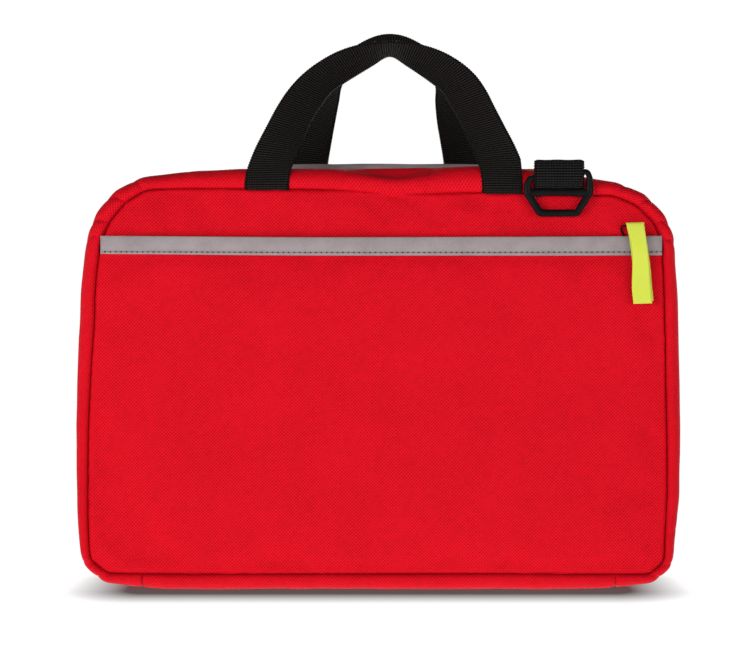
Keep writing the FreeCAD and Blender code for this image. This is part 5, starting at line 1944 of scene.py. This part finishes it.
def tape_reel():
    prof = []
    r_in, r_out, y0, y1 = 20.4, 26.0, 17.0, 30.0
    m = 9
    ring = [(r_in, y0 + 0.3)]
    for k in range(m * 2):
        r = r_in + (r_out - r_in) * (k + 0.5) / (m * 2)
        ring.append((r, y0 + (0.10 if k % 2 else 0.32)))
    ring += [(r_out - 0.1, y0 + 0.2), (r_out, y0 + 0.5), (r_out, y1 - 0.5), (r_out - 0.1, y1 - 0.2)]
    for k in range(m * 2 - 1, -1, -1):
        r = r_in + (r_out - r_in) * (k + 0.5) / (m * 2)
        ring.append((r, y1 - (0.10 if k % 2 else 0.32)))
    ring += [(r_in, y1 - 0.3)]
    n = 140
    P = np.zeros((n, len(ring), 3))
    for i in range(n):
        a_ = 2 * math.pi * i / n
        for j, (r, y) in enumerate(ring):
            P[i, j] = (112 + r * math.cos(a_), y, 172 + r * math.sin(a_))
    tape_ = grid_object("tape_reel_cloth", P, np.zeros((n, len(ring), 2)), closed_n=True, closed_m=True)
    close_and_fix(tape_)
    mat(tape_, M_TAPECLOTH)
    ring = [(19.0, 17.3), (19.2, 17.05), (20.3, 17.05), (20.4, 17.3), (20.4, 29.7), (20.3, 29.95), (19.2, 29.95), (19.0, 29.7)]
    P = np.zeros((n, len(ring), 3))
    for i in range(n):
        a_ = 2 * math.pi * i / n
        for j, (r, y) in enumerate(ring):
            P[i, j] = (112 + r * math.cos(a_), y, 172 + r * math.sin(a_))
    core = grid_object("tape_reel_core", P, np.zeros((n, len(ring), 2)), closed_n=True, closed_m=True)
    close_and_fix(core)
    mat(core, M_CARD)
    # loose end of the tape, folded into a tab
    tb = flat_strap("tape_reel_tab", [(112 + 26.1 * math.cos(a_) + d_ * math.cos(a_), 17.4, 172 + 26.1 * math.sin(a_) + d_ * math.sin(a_),
                                       112 + 26.1 * math.cos(a_) + d_ * math.cos(a_), 29.6, 172 + 26.1 * math.sin(a_) + d_ * math.sin(a_))
                                      for a_, d_ in ((2.2, 0.0), (2.32, 0.1), (2.45, 0.25), (2.56, 0.7), (2.62, 1.2))], 0.35, M_TAPECLOTH)
    return tape_, core, tb


tp, core, tb = tape_reel()
place(tp, "rear_shell", "tape_cloth", "tape_roll")
place(core, "rear_shell", "card")
place(tb, "rear_shell", "tape_cloth")
o = flat_strap("tape_reel_elastic", [(105, y_, z_, 119, y_, z_) for y_, z_ in
                                     ((32.0, 139.5), (31.2, 142.2), (27, 143.2), (19, 144.4), (16.2, 147.2), (16.0, 158), (16.1, 172), (16.0, 186), (16.2, 196.8), (19, 199.6), (27, 200.8), (31.2, 201.8), (32.0, 204.4))], 0.9, M_ELASTIC, width_uv=14)
place(o, "rear_shell", "elastic", "tape_roll_strap")


def scissor_half(name, s, y0, y1):
    x, z = 4.0, 172.0
    ym = (y0 + y1) / 2
    if s < 0:
        bl = [(x - 4.0, z - 7), (x + 3.6, z - 8), (x + 4.1, z), (x + 4.0, z + 8), (x + 2.6, z + 30), (x + 0.9, z + 45.6), (x - 0.6, z + 44.0), (x - 2.6, z + 26), (x - 4.1, z + 8)]
    else:
        bl = [(x - 3.6, z - 8), (x + 4.0, z - 7), (x + 4.1, z + 8), (x + 2.6, z + 26), (x + 0.6, z + 44.0), (x - 0.9, z + 45.6), (x - 2.6, z + 30), (x - 4.0, z + 8), (x - 4.1, z)]
    blade_ = prism(name, bl, "y", y0, y1, 0.45, 2, M_STEEL)
    shank = bar_path(name + "_shank", [(x + s * 0.2, ym, z - 3), (x + s * 2.2, ym, z - 12), (x + s * 5.6, ym, z - 20), (x + s * 9.3, ym, z - 26)], 2.7, 1.0, (0, 1, 0), M_STEEL, n=30, scale=np.linspace(1.15, 0.8, 30))
    cx, cz = x + s * 15.5, z - 38
    n = 72
    pts = []
    for k in range(n):
        a_ = 2 * math.pi * k / n
        rx = 12.0 - 0.9 * (0.5 + 0.5 * math.cos(a_ * 2 + 1.0 * s))
        pts.append((cx + rx * math.cos(a_), ym, cz + 12.0 * math.sin(a_)))
    bow = bar_path(name + "_bow", pts, 2.0, 1.0, (0, 1, 0), M_STEEL, closed=True, n=120, sides=16, square=2.3)
    o = join(name, [blade_, shank, bow])
    mat(o, M_STEEL)
    return o


o = scissor_half("scissors_lower_steel", -1, 26.25, 28.15)
place(o, "rear_shell", "steel", "scissors_lower_half")
o = scissor_half("scissors_upper_steel", 1, 23.95, 25.85)
place(o, "scissors_half", "steel", "scissors_upper_half")


def lathe(name, prof, c, axis, n, material):
    """prof is (radius, height) along the axis through c."""
    i, j, k = AX[axis]
    P = np.zeros((n, len(prof), 3))
    for q in range(n):
        a_ = 2 * math.pi * q / n
        for m_, (r, h) in enumerate(prof):
            v = [0.0, 0.0, 0.0]
            v[i], v[j], v[k] = c[0] + r * math.cos(a_), c[1] + r * math.sin(a_), h
            P[q, m_] = v
    o = grid_object(name, P, np.zeros((n, len(prof), 2)), closed_n=True)
    close_and_fix(o)
    mat(o, material)
    return o


o = lathe("scissors_pivot_screw", [(0.05, 23.15), (0.7, 23.2), (0.75, 22.98), (2.4, 22.95), (3.1, 23.15), (3.35, 23.5), (3.35, 23.8), (1.95, 23.85), (1.95, 28.3), (3.3, 28.35), (3.3, 28.8), (2.8, 29.1), (0.05, 29.2)], (4.0, 172.0), "y", 40, M_RIVET)
place(o, "rear_shell", "steel", "scissors_rivet")
o = flat_strap("scissors_elastic", [(x_, y_, 168.6, x_, y_, 175.4) for x_, y_ in ((-13.5, 32.0), (-10.6, 31.2), (-9.6, 28), (-8.8, 24.4), (-6, 22.0), (-1, 21.6), (4, 21.6), (9, 21.6), (14, 22.0), (16.8, 24.4), (17.6, 28), (18.6, 31.2), (21.5, 32.0))], 0.8, M_ELASTIC, width_uv=7)
place(o, "rear_shell", "elastic", "scissors_strap")


def tweezers_steel():
    arms = []
    for sg_, ya, yb in ((1, 30.2, 30.0), (-1, 25.6, 28.6)):
        pts = [(69, ya, 213.5), (69, ya + (0.0 if sg_ > 0 else -0.3), 200), (69, ya + (0.0 if sg_ > 0 else -0.2), 180), (69, (ya * 0.5 + yb * 0.5), 155), (69, yb, 131.0)]
        P = catmull(np.array(pts), 70)
        sc_ = np.interp(np.linspace(0, 1, 70), [0, 0.15, 0.6, 0.9, 1.0], [1.0, 1.0, 0.72, 0.32, 0.16])
        V1, U1 = sweep(P, 3.0, 0.42, (0, 1, 0), 14, closed=False, scale=sc_)
        a_ = grid_object("tweezer_arm", V1, U1, closed_m=True)
        close_and_fix(a_)
        arms.append(a_)
        for k in range(7):
            z_ = 176 - k * 2.1
            y_ = float(np.interp(-z_, -P[:, 2], P[:, 1])) + (0.42 if sg_ > 0 else -0.42)
            w_ = 3.0 * float(np.interp(-z_, -P[:, 2], sc_)) * 0.8
            arms.append(bar_path("grip", [(69 - w_, y_, z_), (69, y_, z_), (69 + w_, y_, z_)], 0.3, 0.16, (0, 1, 0), n=6, sides=8))
    arms.append(prism("tweezer_head", rect(66.2, 71.8, 210.6, 214.0, 1.2), "y", 25.2, 30.55, 0.4, 2))
    o = join("tweezers_steel", arms)
    mat(o, M_STEEL)
    return o


place(tweezers_steel(), "rear_shell", "steel", "tweezers")
o = flat_strap("tweezers_elastic", [(x_, y_, 168.2, x_, y_, 181.8) for x_, y_ in ((58.5, 32.0), (62.0, 31.4), (63.6, 29.5), (64.2, 26.4), (65.8, 24.2), (69, 23.6), (72.2, 24.2), (73.8, 26.4), (74.4, 29.5), (76, 31.4), (79.5, 32.0))], 0.8, M_ELASTIC, width_uv=14)
place(o, "rear_shell", "elastic", "tweezers_loop")


# sleeve pocket across the bottom
def sleeve_pocket():
    parts = []
    nx, nz = 240, 70
    x = np.linspace(-147, 147, nx)[:, None] * np.ones((1, nz))
    z = np.linspace(16, 112, nz)[None, :] * np.ones((nx, 1))
    P = np.dstack([x, np.full_like(x, 9.6), z])
    # full over the contents, drawn back at the two stitched channels and the sides
    chan = bump_at(x, -34, 3.2) + bump_at(x, 56, 3.2) + np.exp(-(147 - np.abs(x)) / 2.5)
    top = np.clip((z - 16) / 96, 0, 1)
    P[..., 1] = 9.55 + 1.1 * np.clip(chan, 0, 1) * (0.6 + 0.4 * top) + 0.35 * noise2(x, z, 91, 26.0) - 0.3 * np.sin(top * math.pi)
    P[..., 2] -= 1.3 * top * (bump_at(x, -91, 36) + bump_at(x, 11, 26) + bump_at(x, 101, 26)) * top
    face = grid_object("sleeve_face", P, np.dstack([x + 300, z]))
    parts.append(face)
    for xx, zt in ((-147, 111.5), (147, 111.5), (-34, 111.5), (56, 111.5)):
        n, m = 40, 16
        Q = np.zeros((n, m, 3))
        for i in range(n):
            z_ = 16.5 + (zt - 16.5) * i / (n - 1)
            for j in range(m):
                q = j / (m - 1)
                Q[i, j] = (xx + 0.9 * math.sin(q * math.pi) * math.sin(z_ / 13.0) * (1 if xx > 0 else -1) * -1, 10.5 + (31.9 - 10.5) * q, z_)
        parts.append(grid_object("sleeve_wall", Q, np.dstack([Q[..., 1], Q[..., 2]])))
    n, m = 120, 12
    Q = np.zeros((n, m, 3))
    for i in range(n):
        for j in range(m):
            q = j / (m - 1)
            Q[i, j] = (-147 + 294 * i / (n - 1), 9.8 + 22.0 * q, 16.0 + 0.5 * math.sin(q * math.pi))
    parts.append(grid_object("sleeve_base", Q, np.dstack([Q[..., 0] + 300, Q[..., 1]])))
    o = join("sleeve_pocket_cloth", parts)
    mat(o, M_LINING)
    solidify(o, 0.45, 0.0)
    return o, P


sp, SP = sleeve_pocket()
place(sp, "rear_shell", "lining_fabric", "rear_sleeve_pocket")


def top_binding():
    edge = SP[:, -1]
    n = len(edge)
    prof = [(-1.05, -8.0), (-1.15, -4.0), (-1.1, 0.0), (-0.7, 1.05), (0.0, 1.35), (0.7, 1.05), (1.0, 0.0), (1.05, -4.0), (0.95, -8.0), (0.3, -8.1), (0.32, -1.0), (-0.32, -1.0), (-0.35, -8.1)]
    P = np.zeros((n, len(prof), 3))
    uv = np.zeros((n, len(prof), 2))
    for j, (y, z) in enumerate(prof):
        P[:, j] = edge + np.array([0, y, z])
        uv[:, j] = np.column_stack([edge[:, 0] + 300, np.full(n, z)])
    o = grid_object("sleeve_binding_cloth", P, uv, closed_m=True)
    close_and_fix(o)
    mat(o, M_BIND)
    return o


place(top_binding(), "rear_shell", "binding", "sleeve_pocket_binding")

packs = []
for i in range(4):
    b_ = (-140, -42, 11.35 + 4.2 * i, 15.05 + 4.2 * i, 18, 118 - 4 * (3 - i))
    packs.append(pillow("gauze_sachet", b_, seal=6, seed=20 + i, wrinkle=0.35, seal_sides=True, nu=48, nv=48))
o = join("gauze_sachet_set", packs)
mat(o, M_PAPER)
place(o, "rear_shell", "wrap_paper", "gauze_packs", pad=0.4)

o = flat_strap("sachet_elastic", [(x_, y_, 46.5, x_, y_, 56.0) for x_, y_ in
                                  ((74.0, 8.9), (78.6, 8.3), (80.9, 5.8), (81.6, 2.8), (84.5, 1.05), (97, 0.95), (110, 0.9), (123, 0.95), (135.5, 1.05), (138.4, 2.8), (139.1, 5.8), (141.4, 8.3), (146.0, 8.9))],
               0.8, M_ELASTIC, width_uv=9.5)
place(o, "rear_shell", "elastic")

# plaster carton with a tuck flap and a coloured band
bx = prism("plaster_carton", rect(-28, 50, 11.6, 30.4, 0.5, 2), "z", 18, 117.2, 0.5, 2, M_CARD)
fl = prism("plaster_flap", rect(-27.4, 49.4, 11.9, 30.1, 0.8, 3), "z", 117.3, 118.0, 0.2, 2, M_CARD)
bd = prism("plaster_band", rect(-28.15, 50.15, 11.45, 30.55, 0.6, 2), "z", 62, 104, 0.1, 1, M_CARDBAND)
place(bx, "rear_shell", "card", "plaster_box")
place(fl, "rear_shell", "card")
place(bd, "rear_shell", "card")

tbx = (64, 142, 11.6, 29.4, 18, 116)
g = inflate(pillow("sling_packet", tbx, seal=4, seed=31, wrinkle=1.2, nu=56, nv=56, power=4.0), limit=tbx, cap=1.0)
mat(g, M_GREENWRAP)
place(g, "rear_shell", "gauze", "triangular_bandage", pad=0.7)

w = []
for i in range(3):
    b_ = (82 + 2 * i, 138 - 2 * i, 1.6 + 1.7 * i, 3.0 + 1.7 * i, 30 + 2 * i, 80 + 2 * i)
    w.append(pillow("wipe_sachet", b_, seal=5, seed=40 + i, wrinkle=0.25, zig=1.8, seal_sides=True, nu=48, nv=40, t_edge=0.3))
o = join("wipe_sachet_set", w)
mat(o, M_FOIL)
place(o, "rear_shell", "foil", "wipe_sachets", pad=0.3)

# =====================================================================
# stage, light and camera
# =====================================================================
floor_me = bpy.data.meshes.new("floor")
floor_me.from_pydata([(-6, -4, -0.0005), (6, -4, -0.0005), (6, 8, -0.0005), (-6, 8, -0.0005)], [], [(0, 1, 2, 3)])
floor = link(bpy.data.objects.new("floor", floor_me))
kf = Nodes("floor_white")
fc = kf.n("ShaderNodeTexCoord")
fs = kf.n("ShaderNodeSeparateXYZ")
kf.put(fs.inputs[0], fc.outputs["Object"])
# painted shadow: for camera rays the floor's glow drops near the kit's footprint, so the contact shadow under the kit
# is partly painted into the floor; the lamps add real shade on top
out_x = kf.math("MAXIMUM", kf.math("SUBTRACT", kf.math("ABSOLUTE", fs.outputs[0], 0.0), 0.128), 0.0)
out_y = kf.math("MAXIMUM", kf.math("SUBTRACT", kf.math("ABSOLUTE", fs.outputs[1], 0.0), 0.030), 0.0)
out_x = kf.math("MULTIPLY", out_x, 1.5)
away = kf.math("SQRT", kf.math("ADD", kf.math("MULTIPLY", out_x, out_x), kf.math("MULTIPLY", out_y, out_y)), 0.0)
painted_shadow_glow = kf.math("ADD", kf.remap(away, 0.017, 0.066, 0.065, 0.95), kf.remap(away, 0.060, 0.20, 0.0, 0.25))
path = kf.n("ShaderNodeLightPath")
kf.set(Base_Color=(0.09, 0.09, 0.09, 1), Roughness=0.9, Specular_IOR_Level=0.0,
       Emission_Color=(1, 1, 1, 1), Emission_Strength=kf.mixf(path.outputs["Is Camera Ray"], 1.30, painted_shadow_glow))
# far from the object the floor is as white as the backdrop, and a half that swings below it still shows
clear = kf.n("ShaderNodeBsdfTransparent")
both = kf.n("ShaderNodeMixShader")
out = [n for n in kf.m.node_tree.nodes if n.bl_idname == "ShaderNodeOutputMaterial"][0]
kf.m.node_tree.links.new(kf.math("MULTIPLY", path.outputs["Is Camera Ray"], kf.remap(away, 0.070, 0.110, 0.0, 1.0)), both.inputs[0])
kf.m.node_tree.links.new(kf.bsdf.outputs[0], both.inputs[1])
kf.m.node_tree.links.new(clear.outputs[0], both.inputs[2])
kf.m.node_tree.links.new(both.outputs[0], out.inputs[0])
floor.data.materials.append(kf.m)

world = bpy.data.worlds.new("studio")
bpy.context.scene.world = world
world.use_nodes = True
wt = world.node_tree
wt.nodes.clear()
w_out = wt.nodes.new("ShaderNodeOutputWorld")
w_mix = wt.nodes.new("ShaderNodeMixShader")
w_seen = wt.nodes.new("ShaderNodeBackground")
w_light = wt.nodes.new("ShaderNodeBackground")
w_path = wt.nodes.new("ShaderNodeLightPath")
w_seen.inputs[0].default_value = (1, 1, 1, 1)
w_seen.inputs[1].default_value = 1.02
w_light.inputs[0].default_value = (1, 1, 1, 1)
w_tex = wt.nodes.new("ShaderNodeTexCoord")
w_sep = wt.nodes.new("ShaderNodeSeparateXYZ")
w_map = wt.nodes.new("ShaderNodeMapRange")
wt.links.new(w_tex.outputs["Generated"], w_sep.inputs[0])
wt.links.new(w_sep.outputs[2], w_map.inputs[0])
w_map.inputs[1].default_value, w_map.inputs[2].default_value = 0.0, 0.75
w_map.inputs[3].default_value, w_map.inputs[4].default_value = 0.52, 0.11
wt.links.new(w_map.outputs[0], w_light.inputs[1])
wt.links.new(w_path.outputs["Is Camera Ray"], w_mix.inputs[0])
wt.links.new(w_light.outputs[0], w_mix.inputs[1])
wt.links.new(w_seen.outputs[0], w_mix.inputs[2])
wt.links.new(w_mix.outputs[0], w_out.inputs[0])


def area(name, loc, target, size, power, colour=(1, 1, 1)):
    li = bpy.data.lights.new(name, "AREA")
    li.shape = "RECTANGLE"
    li.size, li.size_y = size
    li.energy = power
    li.color = colour
    o = link(bpy.data.objects.new(name, li))
    o.location = loc
    o.rotation_mode = "QUATERNION"
    o.rotation_quaternion = (Vector(target) - Vector(loc)).to_track_quat("-Z", "Y")
    return o


area("key", (-1.05, -1.50, 0.28), (0, 0, 0.08), (0.8, 0.45), 16.0)
area("fill", (0.95, -1.50, 0.20), (0, 0, 0.08), (0.8, 0.35), 5.8)
area("top", (0.1, 0.45, 1.5), (0, 0, 0.1), (1.4, 0.9), 1.4)
area("back", (0.3, 1.6, 0.45), (0, 0, 0.12), (1.2, 0.7), 11.0)

cam_data = bpy.data.cameras.new("camera")
cam = link(bpy.data.objects.new("camera", cam_data))
CAM_D = 1.437
cam.location = (-0.0019, -CAM_D, 0.1459)
cam.rotation_euler = (math.radians(90), 0, 0)
cam_data.sensor_width = 36.0
cam_data.lens = 36.0 * 1.400 / 0.4125
cam_data.clip_start, cam_data.clip_end = 0.05, 60
bpy.context.scene.camera = cam
bpy.context.scene.view_settings.view_transform = "Standard"
